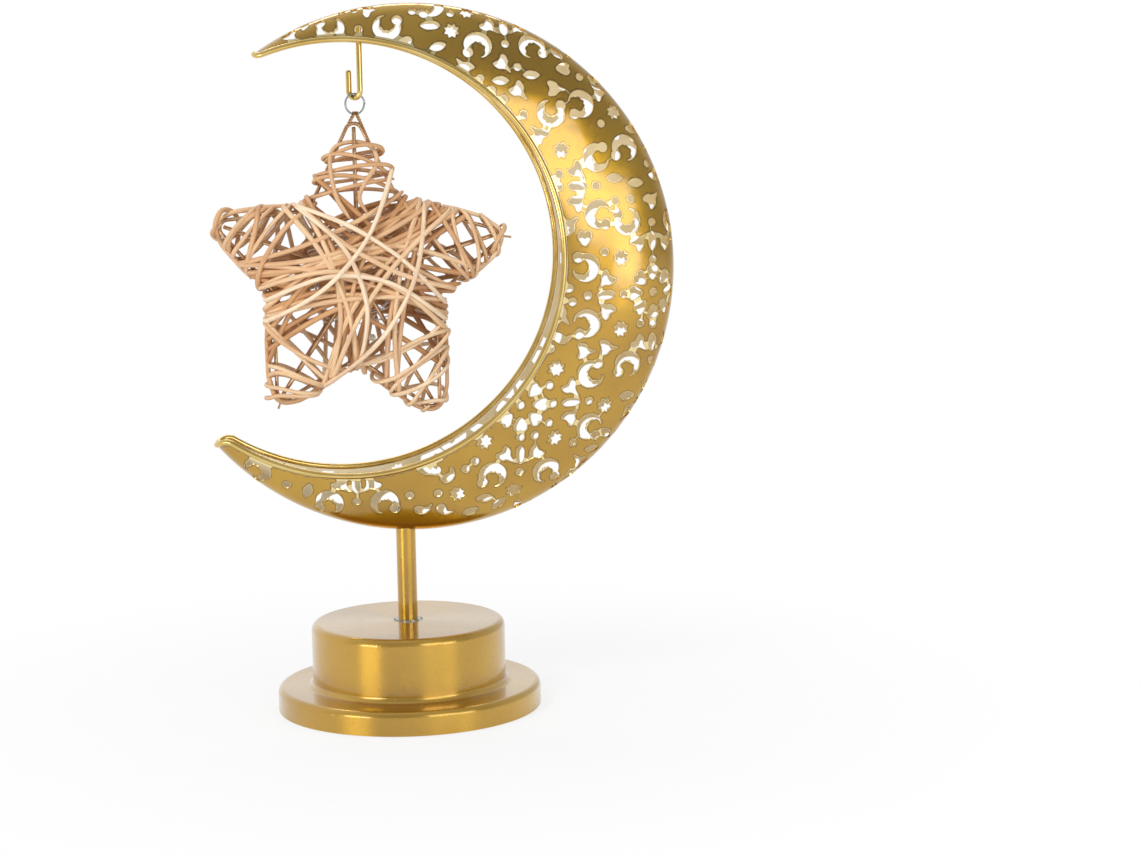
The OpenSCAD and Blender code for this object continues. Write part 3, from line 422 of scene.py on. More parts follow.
def tube(path, radius, sides, closed):
    # Rings of points round a path, with the same turn kept from ring to ring
    path = np.asarray(path, float)
    n = len(path)
    ahead = np.roll(path, -1, 0) - np.roll(path, 1, 0)
    if not closed:
        ahead[0], ahead[-1] = path[1] - path[0], path[-1] - path[-2]
    ahead /= np.maximum(np.linalg.norm(ahead, axis=1), 1e-9)[:, None]
    start = np.array((0.0, 0.0, 1.0)) if abs(ahead[0][2]) < 0.8 else np.array((1.0, 0.0, 0.0))
    across = unit(start - (start @ ahead[0]) * ahead[0])
    sideways = []
    for i in range(n):
        across = unit(across - (across @ ahead[i]) * ahead[i])
        sideways.append(across)
    sideways = np.array(sideways)
    third = np.cross(ahead, sideways)
    radius = np.broadcast_to(np.asarray(radius, float), (n,))
    turn = np.linspace(0, 2 * np.pi, sides, endpoint=False)[None, :, None]
    around = np.cos(turn) * sideways[:, None] + np.sin(turn) * third[:, None]
    return path[:, None] + radius[:, None, None] * around


def tubePiece(name, paths, radii, sides, material, closed=False, tones=None):
    # Tubes along paths in mm, with a UV map that runs round each tube and along it for each 10 mm
    points, faces, uvs, tone = [], [], [], []
    base = 0
    for j, path in enumerate(paths):
        rings = tube(path, radii[j] if isinstance(radii, list) else radii, sides, closed)
        n = len(rings)
        points.append(rings.reshape(-1, 3))
        ring = np.arange(n if closed else n - 1)
        after = (ring + 1) % n
        k = np.arange(sides)
        k2 = (k + 1) % sides
        corners = ((ring, k), (ring, k2), (after, k2), (after, k))
        quads = [base + row[:, None] * sides + side for row, side in corners]
        faces.extend(np.stack(quads, -1).reshape(-1, 4).tolist())
        length = lengths(path)
        step = np.append(length, length[-1] + 1.0)
        low, high = step[ring][:, None] + 0 * k, step[ring + 1][:, None] + 0 * k
        u0, u1 = k[None] / sides + 0 * low, (k[None] + 1) / sides + 0 * low
        uvs.append(np.stack([u0, low, u1, low, u1, high, u0, high], -1).reshape(-1, 2))
        if not closed:
            faces.append(list(range(base + sides - 1, base - 1, -1)))
            faces.append(list(range(base + (n - 1) * sides, base + n * sides)))
            uvs.append(np.zeros((2 * sides, 2)))
        tone.extend([tones[j] if tones else 0.5] * (n * sides))
        base += n * sides
    piece = newPiece(name, np.concatenate(points), faces, material)
    mesh = piece.data
    for polygon in mesh.polygons:
        polygon.use_smooth = len(polygon.vertices) == 4
    flat = np.concatenate(uvs) * np.array((1.0, 0.1))
    mesh.uv_layers.new(name="strandUv").data.foreach_set("uv", flat.astype(np.float32).ravel())
    mesh.attributes.new("tone", "FLOAT", "POINT").data.foreach_set("value", np.array(tone, np.float32))
    return piece


# Crescent, in mm and degrees about the middle of its outer circle
crescent = {
    "centre": (6.0, 188.34), "radius": 111.6, "mouthAt": (-28.5, 5.8), "mouthRadius": 91.2,
    "bellyHalf": 18.4, "edgeRadius": 8.0, "sheet": 0.8,
    "seam": 0.03,  # half the gap between the sheets at the outer edge
    "smooth": 38,
    "lowerHorn": 220.3 - 360,
    "upperHorn": 124.8, "hornBack": 2.2, "rim": 2.4, "rimGap": 0.1, "rimSides": 20,
}
crestRadius = crescent["mouthRadius"] + crescent["mouthAt"][0]
dishWidth = crescent["radius"] - crestRadius
edgeR = crescent["edgeRadius"]
edgeTurn = math.pi / 2 - 2 * math.atan((crescent["bellyHalf"] - edgeR) / (dishWidth - edgeR))
dishReach = (dishWidth - edgeR) / math.cos(edgeTurn)
dishRadius = dishReach + edgeR
crestZ = -dishReach * math.sin(edgeTurn)
mainLength = dishRadius * (math.pi / 2 - edgeTurn)
flatRadius = crestRadius + mainLength + edgeR * edgeTurn


def sheetPlace(s):
    # Radius and height of the dished sheet, by the length along its section from the crest
    s = np.asarray(s, float)
    turn = s / dishRadius
    edge = math.pi / 2 - edgeTurn + (s - mainLength) / edgeR
    rolled = crescent["radius"] - edgeR + edgeR * np.sin(edge)
    rho = np.where(s < mainLength, crestRadius + dishRadius * np.sin(turn), rolled)
    height = np.where(s < mainLength, crestZ + dishRadius * np.cos(turn), edgeR * np.cos(edge))
    return rho, height


def lengthAt(rho):
    rho = np.asarray(rho, float)
    bend = crestRadius + dishRadius * math.cos(edgeTurn)
    main = dishRadius * np.arcsin(np.clip((rho - crestRadius) / dishRadius, -1, 1))
    turn = np.arcsin(np.clip((rho - crescent["radius"] + edgeR) / edgeR, -1, 1))
    return np.where(rho < bend, main, mainLength + edgeR * (turn - (math.pi / 2 - edgeTurn)))


def mouthPoint(angle):
    d = polar(angle, 1)
    at = np.array(crescent["mouthAt"])
    k = d @ at
    return d * (k + math.sqrt(k * k - at @ at + crescent["mouthRadius"] ** 2))


def hornPlan(angle, back, steps):
    # Curve from the mouth into a horn's tip
    a, b = mouthPoint(angle + back), mouthPoint(angle)
    c = polar(angle, crescent["radius"] - crescent["sheet"] / 2)
    plan = []
    for i in range(steps + 1):
        t = 1 - (1 - i / steps) ** 2
        ab, bc = a + (b - a) * t, b + (c - b) * t
        plan.append(ab + (bc - ab) * t)
    return plan


def rimPlan(arcSteps=220, hornSteps=24):
    low = hornPlan(crescent["lowerHorn"], crescent["hornBack"], hornSteps)
    high = hornPlan(crescent["upperHorn"], -crescent["hornBack"], hornSteps)
    at = np.array(crescent["mouthAt"])
    a0, a1 = angleOf(low[0] - at), angleOf(high[0] - at)
    arc = [at + polar(a0 + (a1 - a0) * i / arcSteps, crescent["mouthRadius"]) for i in range(arcSteps + 1)]
    return np.array(low[:0:-1] + arc + high[1:])


def closedCurve(points, steps, size):
    # Smooth closed curve through points given in shares of a size
    p = np.array(points) * size
    out = []
    for i in range(len(p)):
        a, b, c, d = p[i - 1], p[i], p[(i + 1) % len(p)], p[(i + 2) % len(p)]
        for t in np.arange(steps) / steps:
            square, cube = 2 * a - 5 * b + 4 * c - d, 3 * b - a - 3 * c + d
            out.append(0.5 * (2 * b + (c - a) * t + square * t * t + cube * t ** 3))
    return np.array(out)


def ringPoints(radius, count, start=0.0, end=360.0, at=(0, 0)):
    turn = np.radians(np.linspace(start, end, count, endpoint=abs(end - start) < 360))
    return np.c_[np.cos(turn), np.sin(turn)] * np.asarray(radius).reshape(-1, 1) + np.array(at)


# Shapes of the holes, in shares of a medallion's size
scroll = {
    "turns": (88, 342), "points": 38, "radius": 0.41, "halfAtBulb": 0.075, "halfAtTip": 0.015,
    "back": 0.14, "backPower": 0.9, "thicker": 1.12, "tooth": 0.055, "teeth": 5, "toothFrom": 0.15,
    "bulbAt": (62, 0.42), "bulb": 0.195,
}
holes = {
    "dot": 0.155, "eyeRadius": 0.41, "eyeOffset": 0.24, "star": (0.31, 0.215), "diamondPoint": 0.46,
    "diamondSide": 0.3, "diamondRay": 0.34, "diamondFall": 0.07, "diamondDip": 0.23,
    "petal": [
        (-0.25, -0.08), (0.02, -0.25), (0.2, -0.24), (0.28, -0.11), (0.22, 0), (0.28, 0.11), (0.2, 0.24),
        (0.02, 0.25), (-0.25, 0.08),
    ],
    "long": [
        (-0.38, 0), (-0.2, -0.15), (0.05, -0.17), (0.25, -0.14), (0.38, 0), (0.25, 0.14), (0.05, 0.17),
        (-0.2, 0.15),
    ],
    "leaf": [
        (-0.37, 0), (-0.18, -0.2), (0.06, -0.22), (0.31, -0.36), (0.19, -0.06), (0.22, 0.12), (0.1, 0.34),
        (-0.03, 0.34), (-0.13, 0.13),
    ],
    "comma": [
        (-0.3, -0.02), (-0.1, -0.2), (0.18, -0.18), (0.4, 0.1), (0.16, 0.02), (-0.02, 0.16), (-0.22, 0.2),
    ],
}


def scrollHole(m):
    # A thick back that narrows to a toothed tip, and a round bulb at the other end
    start, end = scroll["turns"]
    turn = np.linspace(start, end, scroll["points"])
    along = (turn - start) / (end - start)
    way = np.c_[np.cos(np.radians(turn)), np.sin(np.radians(turn))]
    half = scroll["halfAtBulb"] * (1 - along) + scroll["halfAtTip"] * along
    half = half + scroll["back"] * np.sin(np.pi * along ** scroll["backPower"])
    bite = np.clip((along - scroll["toothFrom"]) * scroll["teeth"], 0, 1)
    tooth = scroll["tooth"] * np.abs(np.sin(scroll["teeth"] * np.pi * along)) * bite
    outside = way * (scroll["radius"] + scroll["thicker"] * half)[:, None] * m
    inside = way * (scroll["radius"] - scroll["thicker"] * half + tooth)[:, None] * m
    bulb = polar(scroll["bulbAt"][0], scroll["bulbAt"][1] * m)
    a0, a1 = angleOf(outside[0] - bulb), angleOf(inside[0] - bulb)
    a1 = a0 - (a0 - a1) % 360
    return np.concatenate([outside[::-1], ringPoints(scroll["bulb"] * m, 16, a0, a1, bulb), inside])


def diamondReach(i):
    # A long point at each end, a blunt one at each side, and small rays between them
    k = i % 16
    if k == 0:
        return holes["diamondPoint"]
    if k == 8:
        return holes["diamondSide"]
    return holes["diamondRay"] - holes["diamondFall"] * abs(k - 8) / 8 if k % 2 == 0 else holes["diamondDip"]


def holeShapes(m):
    offset = holes["eyeOffset"]
    half = math.degrees(math.acos(offset / holes["eyeRadius"]))
    eye = [
        ringPoints(holes["eyeRadius"] * m, 12, 90 - half, 90 + half, (0, -offset * m))[:-1],
        ringPoints(holes["eyeRadius"] * m, 12, 270 - half, 270 + half, (0, offset * m))[:-1],
    ]
    leaf = closedCurve(holes["leaf"], 4, m)
    curl = scrollHole(m)
    flip = np.array((1, -1))
    return {
        "dot": ringPoints(holes["dot"] * m, 14),
        "petal": closedCurve(holes["petal"], 3, m),
        "long": closedCurve(holes["long"], 3, m),
        "leafLeft": leaf,
        "leafRight": leaf * flip,
        "comma": closedCurve(holes["comma"], 4, m),
        "scrollLeft": curl,
        "scrollRight": curl * flip,
        "eye": np.concatenate(eye),
        "diamond": np.array([polar(360 / 32 * i, diamondReach(i) * m) for i in range(32)]),
        "star": np.array([polar(22.5 * i + 22.5, m * holes["star"][i % 2]) for i in range(16)]),
    }


# Medallion of four equal quarters: holes along a quarter's middle and beside it, in shares of its size
medallion = {
    "petals": 0.77,
    "along": [("dot", 1.27), ("long", 2), ("dot", 2.73), ("diamond", 3.36), ("eye", 4.3)],
    "beside": [("leaf", (1.98, 0.6)), ("scroll", (2.88, 1.1))],
    "star": (1.41, 1.37),
}


def medallionSpots():
    spots = [("dot", (0, 0), 0)] + [("petal", polar(45 * i, medallion["petals"]), 45 * i) for i in range(8)]
    for quarter in (0, 90, 180, 270):
        for kind, share in medallion["along"]:
            spots.append((kind, polar(quarter, share), quarter))
        for kind, (x, y) in medallion["beside"]:
            for side, sign in (("Left", 1), ("Right", -1)):
                spots.append((kind + side, turned(x, sign * y, quarter), quarter))
        spots.append(("star", turned(*medallion["star"], quarter), 0))
    return spots


# Pattern on the flat sheet, in mm and degrees, and the metal that is left round its holes
pattern = {
    "medallion": 11.0,
    "medallions": [(43, -57), (102.5, -11.5), (47, 34.5), (103, 81), (41, 125), (-20.5, 72), (-27, -68)],
    "rearShift": (4.0, -5.0),
    "shiftFades": (30, 45, 0.9),  # from this turn, over this many degrees, by this share
    "strip": 0.55, "mouthStrip": 0.85, "edgeStrip": 1.0, "borderStrip": 0.6, "hornStrip": 1.4,
    "leastArea": 2.2, "leastShare": 0.3, "pointGap": 0.22, "fillStrip": 1.6, "fillShare": 0.55,
    "fillSeed": 4, "fillStep": 5.2, "fillShake": 1.2,
    "fillBox": ((-80, 112), (-112, 112)),
    "fillTurns": (-72, 118),
}

# Holes between the medallions: kind, middle as a share of the crescent's radius, turn
singleHoles = [
    ("eye", (0.856, 0.318), 0), ("eye", (0.815, -0.506), 0), ("eye", (0.735, -0.654), -45),
    ("eye", (0.538, -0.815), -60), ("comma", (0.547, -0.26), 0), ("dot", (0.59, -0.125), 0),
    ("eye", (0.251, -0.883), 0), ("comma", (0.108, -0.78), 60), ("dot", (0.175, -0.753), 0),
    ("dot", (0.211, -0.723), 0), ("star", (0.143, -0.856), 0), ("dot", (0.07, -0.85), 0),
    ("comma", (0.009, -0.92), 20), ("comma", (0.09, -0.925), -30), ("eye", (0.195, -0.94), 20),
    ("dot", (-0.04, -0.855), 0), ("eye", (-0.43, -0.835), 70), ("dot", (-0.51, -0.81), 0),
    ("scrollLeft", (-0.628, -0.757), 200), ("eye", (-0.054, 0.905), 10), ("comma", (-0.11, 0.965), 40),
    ("dot", (0.02, 0.985), 0), ("long", (0.085, 0.925), 0), ("eye", (0.11, 0.84), 15),
    ("dot", (0.165, 0.975), 0), ("eye", (-0.28, 0.925), 10), ("eye", (0.34, 0.708), 0),
    ("eye", (0.46, 0.73), 0), ("eye", (0.57, 0.82), -40),
]


def toPlan(flat):
    # From the flat pattern to the crescent's plan seen from the front
    radius = np.linalg.norm(flat, axis=-1)
    rho = sheetPlace(radius - crestRadius)[0]
    return flat * (rho / np.maximum(radius, 1e-6))[..., None]


def toFlat(plan):
    rho = np.linalg.norm(plan, axis=-1)
    return plan * ((crestRadius + lengthAt(rho)) / np.maximum(rho, 1e-6))[..., None]


def spread(points, gap):
    # Leaves out points that lie closer than the gap to the one before
    kept = [points[0]]
    for p in points[1:]:
        if np.linalg.norm(p - kept[-1]) > gap:
            kept.append(p)
    while len(kept) > 3 and np.linalg.norm(kept[0] - kept[-1]) <= gap:
        kept.pop()
    return np.array(kept)


def loopArea(p):
    q = np.roll(p, -1, 0)
    return 0.5 * abs(np.sum(p[:, 0] * q[:, 1] - q[:, 0] * p[:, 1]))


def pointTree(points):
    tree = KDTree(len(points))
    for i, p in enumerate(points):
        tree.insert((*p, 0), i)
    tree.balance()
    return tree


def fillSpots(rng):
    # Places for small holes, tried in turn with the largest shape first
    spots = []
    (u0, u1), (v0, v1) = pattern["fillBox"]
    first, last = pattern["fillTurns"]
    for u in np.arange(u0, u1, pattern["fillStep"]):
        for v in np.arange(v0, v1, pattern["fillStep"]):
            p = np.array((u, v)) + rng.uniform(-pattern["fillShake"], pattern["fillShake"], 2)
            if crestRadius < np.linalg.norm(p) < flatRadius and first < angleOf(p) < last:
                spots.append(p)
    rng.shuffle(spots)
    out = []
    for kind in ("leafLeft", "star", "eye", "petal", "dot"):
        for p in spots:
            if kind == "dot" or rng.random() < pattern["fillShare"]:
                out.append((kind, p, float(rng.choice((0, 45, 90, 180, 270)))))
    return out


def patternSpots():
    # Each medallion keeps the holes that lie nearest to its own middle
    centres = np.array(pattern["medallions"], float)
    spots = []
    for i, centre in enumerate(centres):
        for kind, at, turn in medallionSpots():
            p = centre + pattern["medallion"] * np.array(at)
            if np.linalg.norm(centres - p, axis=1).argmin() == i:
                spots.append((kind, p, turn))
    return spots + [(kind, crescent["radius"] * np.array(at), turn) for kind, at, turn in singleHoles]


def placedHole(shape, p, turn, shift):
    # Turned and moved to its place. The rear sheet's shift fades towards the upper horn
    c, s = math.cos(math.radians(turn)), math.sin(math.radians(turn))
    start, over, loss = pattern["shiftFades"]
    toTop = np.clip((angleOf(p) - start) / over, 0, 1)
    return shape @ np.array(((c, s), (-s, c))) + p + shift * (1 - loss * toTop)


def trimmedHole(whole):
    # Pulled in from the outer edge and from the mouth
    radius = np.linalg.norm(whole, axis=1)
    loop = whole * (np.minimum(radius, flatRadius - pattern["edgeStrip"]) / radius)[:, None]
    at = np.array(crescent["mouthAt"])
    inner = crescent["mouthRadius"] + crescent["rim"] / 2 + crescent["rimGap"] + pattern["mouthStrip"]
    plan = toPlan(loop)
    away = np.linalg.norm(plan - at, axis=1)
    inside = away < inner
    plan[inside] = at + (plan[inside] - at) * (inner / away[inside])[:, None]
    loop[inside] = toFlat(plan[inside])
    return spread(loop, pattern["pointGap"])


def holeFits(loop, whole, border):
    if len(loop) < 5 or loopArea(loop) < max(pattern["leastArea"], pattern["leastShare"] * loopArea(whole)):
        return False
    angle = np.degrees(np.arctan2(loop[:, 1], loop[:, 0]))
    strip = pattern["hornStrip"]
    if angle.min() < crescent["lowerHorn"] + strip or angle.max() > crescent["upperHorn"] - strip:
        return False
    if np.linalg.norm(loop.mean(0)) < crestRadius:
        return False
    return min(border.find((*q, 0))[2] for q in loop) >= pattern["borderStrip"]


def holeLoops(shift, border):
    shapes = holeShapes(pattern["medallion"])
    spots = patternSpots()
    extra = fillSpots(np.random.default_rng(pattern["fillSeed"]))
    tree = pointTree(border)
    around = pattern["medallion"] + 3
    loops, cutPoints = [], []
    for count, (kind, p, turn) in enumerate(spots + extra):
        whole = placedHole(shapes[kind], p, turn, shift)
        loop = trimmedHole(whole)
        if not holeFits(loop, whole, tree):
            continue
        if cutPoints:
            near = np.array(cutPoints)
            near = near[np.abs(near - loop.mean(0)).max(1) < around]
            gap = pattern["fillStrip"] if count >= len(spots) else pattern["strip"]
            if len(near) and np.sqrt(((loop[:, None] - near[None]) ** 2).sum(-1)).min() < gap:
                continue
        cutPoints.extend(loop)
        loops.append(loop)
    return loops


# Mesh of a sheet: spacing of its points in mm, and the soft dents left by the press
sheetMesh = {
    "grid": 1.5, "edgeGrid": 0.9, "clear": 0.7, "inside": 2, "outside": 0.4, "bend": 1,
    "border": 0.5, "hornEnd": 0.15, "dent": 0.16, "waves": 7, "wave": 0.09, "waveSpread": 2.6,
    "calmEdge": 14, "calmCrest": 10,
}


def sheetBorder():
    plan = rimPlan()
    step = np.gradient(plan, axis=0)
    step /= np.linalg.norm(step, axis=1)[:, None]
    wide = crescent["rim"] / 2 + crescent["rimGap"]
    inner = plan + wide * np.c_[step[:, 1], -step[:, 0]]
    inner = inner[np.linalg.norm(inner, axis=1) < crescent["radius"] - sheetMesh["hornEnd"]]
    flat = spread(toFlat(inner), sheetMesh["border"])
    a0, a1 = angleOf(flat[0]), angleOf(flat[-1])
    outer = ringPoints(flatRadius, int((a1 - a0) * 2), a1, a0)
    return np.concatenate([flat, outer])


def gridPoints(points):
    # Rings of points over the whole dish, kept clear of the cut lines
    tree = pointTree(points)
    out = []
    radius, row = crestRadius - sheetMesh["inside"], 0
    while radius < flatRadius - sheetMesh["outside"]:
        count = int(2 * math.pi * radius / sheetMesh["grid"])
        for k in range(count):
            p = polar(360 * (k + 0.5 * (row % 2)) / count, radius)
            if tree.find((*p, 0))[2] > sheetMesh["clear"]:
                out.append(p)
        onDish = radius - crestRadius < mainLength - sheetMesh["bend"]
        radius += sheetMesh["grid"] if onDish else sheetMesh["edgeGrid"]
        row += 1
    return out


def fillSheet(border, loops):
    # Triangles of the flat sheet: those that an odd number of cut lines parts from the outside
    points = [p for loop in [border] + loops for p in loop]
    edges, start = [], 0
    for loop in [border] + loops:
        edges += [(start + i, start + (i + 1) % len(loop)) for i in range(len(loop))]
        start += len(loop)
    points += gridPoints(points)
    out, outEdges, faces, _, edgeSource, _ = delaunay_2d_cdt([Vector(p) for p in points], edges, [], 0, 1e-6)
    cut = {tuple(sorted(e)) for e, source in zip(outEdges, edgeSource) if source}
    sides = [[tuple(sorted((face[i], face[(i + 1) % 3]))) for i in range(3)] for face in faces]
    beside = {}
    for f, face in enumerate(sides):
        for edge in face:
            beside.setdefault(edge, []).append(f)
    level = {}
    front = []
    for edge, pair in beside.items():
        if len(pair) == 1 and pair[0] not in level:
            level[pair[0]] = int(edge in cut)
            front.append(pair[0])
    while front:
        after = []
        for f in front:
            for edge in sides[f]:
                for g in beside[edge]:
                    if g not in level:
                        level[g] = level[f] + int(edge in cut)
                        after.append(g)
        front = after
    kept = [faces[f] for f in range(len(faces)) if level.get(f, 0) % 2 == 1]
    used = sorted({i for face in kept for i in face})
    number = {old: new for new, old in enumerate(used)}
    onCut = {i for edge in cut for i in edge}
    flat = np.array([out[i] for i in used])
    kept = [[number[i] for i in face] for face in kept]
    return flat, kept, np.array([1.0 if i in onCut else 0.0 for i in used], np.float32)


def dents(flat, radius, seed):
    # Long shallow waves over the dish that die out at its edge and at its crest
    ways = np.random.default_rng(seed)
    wobble = np.zeros(len(flat))
    for _ in range(sheetMesh["waves"]):
        wave = ways.uniform(-sheetMesh["wave"], sheetMesh["wave"], 2)
        wobble += np.sin(flat @ wave + ways.uniform(0, 6.3))
    calm = np.clip((flatRadius - radius) / sheetMesh["calmEdge"], 0, 1)
    calm = calm * np.clip((radius - crestRadius - 1) / sheetMesh["calmCrest"], 0, 1)
    return sheetMesh["dent"] * wobble / sheetMesh["waveSpread"] * calm


def makeSheet(name, node, side, shift, finishes, seed):
    border = sheetBorder()
    loops = holeLoops(np.array(shift, float), border)
    flat, faces, edge = fillSheet(border, loops)
    radius = np.linalg.norm(flat, axis=1)
    rho, height = sheetPlace(radius - crestRadius)
    height = height + dents(flat, radius, seed)
    plan = flat * (rho / radius)[:, None]
    cx, cz = crescent["centre"]
    points = np.c_[cx + plan[:, 0], -side * np.maximum(height, crescent["seam"]), cz + plan[:, 1]]
    a, b, c = (points[i] for i in faces[0])
    if np.cross(b - a, c - a)[1] * side > 0:
        faces = [face[::-1] for face in faces]
    piece = newPiece(name, points, faces, finishes["gold_sheet"])
    piece.data.materials.append(finishes["gold_bright"])
    piece.data.materials.append(finishes["gold_inside"])
    piece.data.attributes.new("cutEdge", "FLOAT", "POINT").data.foreach_set("value", edge)
    thick = piece.modifiers.new("thickness", "SOLIDIFY")
    thick.thickness = crescent["sheet"] * mm
    thick.offset = -1
    thick.use_quality_normals = True
    thick.material_offset_rim = 1
    thick.material_offset = 2
    bpy.ops.object.modifier_apply(modifier=thick.name)
    bpy.ops.object.shade_smooth_by_angle(angle=math.radians(crescent["smooth"]))
    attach(piece, "stand")
    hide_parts(node)
    print(name, len(loops), "holes", len(piece.data.polygons), "faces")


def makeRim(material):
    plan = rimPlan(200, 22)
    cx, cz = crescent["centre"]
    across = np.linalg.norm(plan, axis=1)
    high = sheetPlace(lengthAt(across))[1] - crescent["sheet"] / 2
    high[0] = high[-1] = 0
    front = np.c_[cx + plan[:, 0], -np.maximum(high, 0), cz + plan[:, 1]]
    rear = front[::-1] * np.array((1, -1, 1))
    loop = np.concatenate([front, rear[1:-1]])
    piece = tubePiece("rimWire", [loop], crescent["rim"] / 2, crescent["rimSides"], material, closed=True)
    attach(piece, "stand")
    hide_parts("rim_wire")


# Star, in mm and degrees in its own plane. The arms count from the top one, to the left and round
star = {
    "centre": (-17.2, 186.0), "radius": 66.0,
    "armAngles": (90, 158, 236, 299.5, 375.6),
    "armShares": (1.03, 0.98, 0.97, 1.02, 0.99),
    "notchAngles": (58, 125, 188, 267.6, 344.6),
    "notchShares": (0.58, 0.567, 0.588, 0.568, 0.564),
    "armEnds": (0.88, 0.985, 0.985, 0.985, 0.985),
    "endHalves": (0.12, 0.05, 0.05, 0.05, 0.05),
    "tipCentre": 0.894, "tipWire": 3.6, "notchInset": 2.8, "frameHalf": 8.0, "ribEnd": 0.85,
    "frameWire": 1.6, "frameSides": 12,
}


def starPlace(points):
    # From the star's own plane (across, up, towards the camera) to the model
    p = np.asarray(points, float)
    return np.c_[star["centre"][0] + p[:, 0], -p[:, 2], star["centre"][1] + p[:, 1]]


def armPoint(i, share):
    return polar(star["armAngles"][i % 5], share * star["armShares"][i % 5] * star["radius"])


def notch(i):
    return polar(star["notchAngles"][i % 5], star["notchShares"][i % 5] * star["radius"])


def armSide(i, side, t):
    # Place along an arm's side, from its notch at 0 to its end at 1
    half = side * star["endHalves"][i] * star["radius"]
    end = armPoint(i, star["armEnds"][i]) + polar(star["armAngles"][i] + 90, half)
    root = notch(i + 1 if side > 0 else i)
    return root + (end - root) * t


def armAcross(i, t):
    right, left = armSide(i, -1, t), armSide(i, 1, t)
    half = (right - left) / 2
    return (right + left) / 2, half, np.linalg.norm(half)


def ribReach(i):
    return star["tipCentre"] * star["armShares"][i % 5] * star["radius"] + star["tipWire"] - star["frameWire"]


def ribHeight(i, a):
    # Height of the domed frame over an arm, at a distance from the star's middle
    fall = star["frameHalf"] - star["ribEnd"]
    r = (ribReach(i) ** 2 + fall ** 2) / (2 * fall)
    return star["frameHalf"] - r + math.sqrt(max(r * r - a * a, 0))


def overArm(i, mid):
    return ribHeight(i, min(np.linalg.norm(mid), ribReach(i)))


def smoothed(path, times):
    p = path.copy()
    for _ in range(times):
        p[1:-1] = 0.25 * p[:-2] + 0.5 * p[1:-1] + 0.25 * p[2:]
    return p


def resampled(path, gap):
    length = lengths(path)
    at = np.linspace(0, length[-1], max(int(length[-1] / gap), 3))
    return np.stack([np.interp(at, length, path[:, k]) for k in range(3)], 1)


def swung(value, power):
    return math.copysign(abs(value) ** power, value)


# Strands wound round an arm, in mm. Places along the arm and their changes are shares of its side
wrap = {
    "strands": (1, 2, 2, 2, 2),
    "turns": (3.0, 4.2), "start": (-0.02, 0.22), "end": (0.84, 1.0), "limits": (-0.12, 1.03),
    "slant": (0.08, 0.36), "proud": (0.2, 3.4), "wide": (-0.6, 2.6), "opening": (0.03, 0.1),
    "pointsPerTurn": 44, "squareAcross": 0.8, "squareOut": 0.75, "sideGap": 0.5, "frameGap": 1.9,
}


def wrapPath(i, rng):
    # One strand that winds an arm in slanted turns from its root towards its tip
    turns = rng.uniform(*wrap["turns"])
    t0, t1 = rng.uniform(*wrap["start"]), rng.uniform(*wrap["end"])
    if rng.random() < 0.5:
        t0, t1 = t1, t0
    phase = rng.uniform(0, 2 * math.pi)
    slants = [rng.choice((-1, 1)) * rng.uniform(*wrap["slant"]) for _ in range(6)]
    prouds = [rng.uniform(*wrap["proud"]) for _ in range(6)]
    wides = [rng.uniform(*wrap["wide"]) for _ in range(12)]
    opening = rng.uniform(*wrap["opening"])
    count = int(turns * wrap["pointsPerTurn"])
    path = []
    for k in range(count + 1):
        a = phase + 2 * math.pi * turns * k / count
        c, s = math.cos(a), math.sin(a)
        lap = turns * k / count
        along = t0 + (t1 - t0) * k / count
        slant = np.interp(lap, range(6), slants)
        t = along + slant * c * (1 - 0.5 * abs(along)) + opening * s
        mid, half, size = armAcross(i, min(max(t, wrap["limits"][0]), wrap["limits"][1]))
        half = half * (size + wrap["sideGap"] + np.interp(2 * lap, range(12), wides)) / size
        out = overArm(i, mid) + wrap["frameGap"] + np.interp(lap, range(6), prouds)
        p = mid + half * swung(c, wrap["squareAcross"])
        path.append((p[0], p[1], out * swung(s, wrap["squareOut"])))
    return np.array(path)


# Open loops round the top arm: place along it and lean of each turn, and one loop that crosses them, in mm
topArm = {
    "turns": [(0.16, 5.5), (0.3, -4.2), (0.44, 3.6), (0.6, -4.6), (0.76, 2.4)],
    "pointsPerTurn": 40, "phase": 0.6, "side": (1.2, 1.4), "gap": 2.6, "sag": 2.0, "loopGap": 1.2,
    "loop": [
        (4.5, 27.0, 11.0), (0.5, 33.5, 10.0), (4.2, 40.5, 8.2), (9.0, 46.5, 5.2), (9.4, 51.0, 2.6),
        (7.2, 55.0, 0.8), (2.5, 56.8, 0.6), (-3.5, 56.6, 1.2), (-8.4, 55.2, 2.2), (-10.4, 51.5, 4.0),
        (-10.4, 45.5, 6.6), (-9.4, 39.0, 8.6), (-8.0, 33.0, 10.2), (-3.0, 25.0, 12.0),
    ],
}


def topPath(rng):
    # Open turns round the top arm, each a rounded loop of its own height and lean
    shares, leans = zip(*topArm["turns"])
    laps = range(len(shares))
    path = []
    for n in range(len(shares) * topArm["pointsPerTurn"]):
        lap = n / topArm["pointsPerTurn"]
        a = 2 * math.pi * lap + topArm["phase"]
        c, s = math.cos(a), math.sin(a)
        mid, half, size = armAcross(0, np.interp(lap, laps, shares))
        half = half * (size + rng.uniform(*topArm["side"])) / size
        p = mid + half * c
        rise = np.interp(lap, laps, leans) * c + topArm["sag"] * s - topArm["sag"] * c * c
        path.append((p[0], p[1] + rise, (overArm(0, mid) + topArm["gap"]) * s))
    return np.array(path)


# Strands that run out along an arm, round its tip and back, in mm. The start is a share of the arm's side
tipRun = {
    "start": (0.25, 0.5), "end": 0.88, "points": 9, "side": (0.9, 2.4), "tipGap": 1.9, "round": 80,
    "lean": (0.8, 2.6), "wave": 0.16, "gap": 1.2,
}


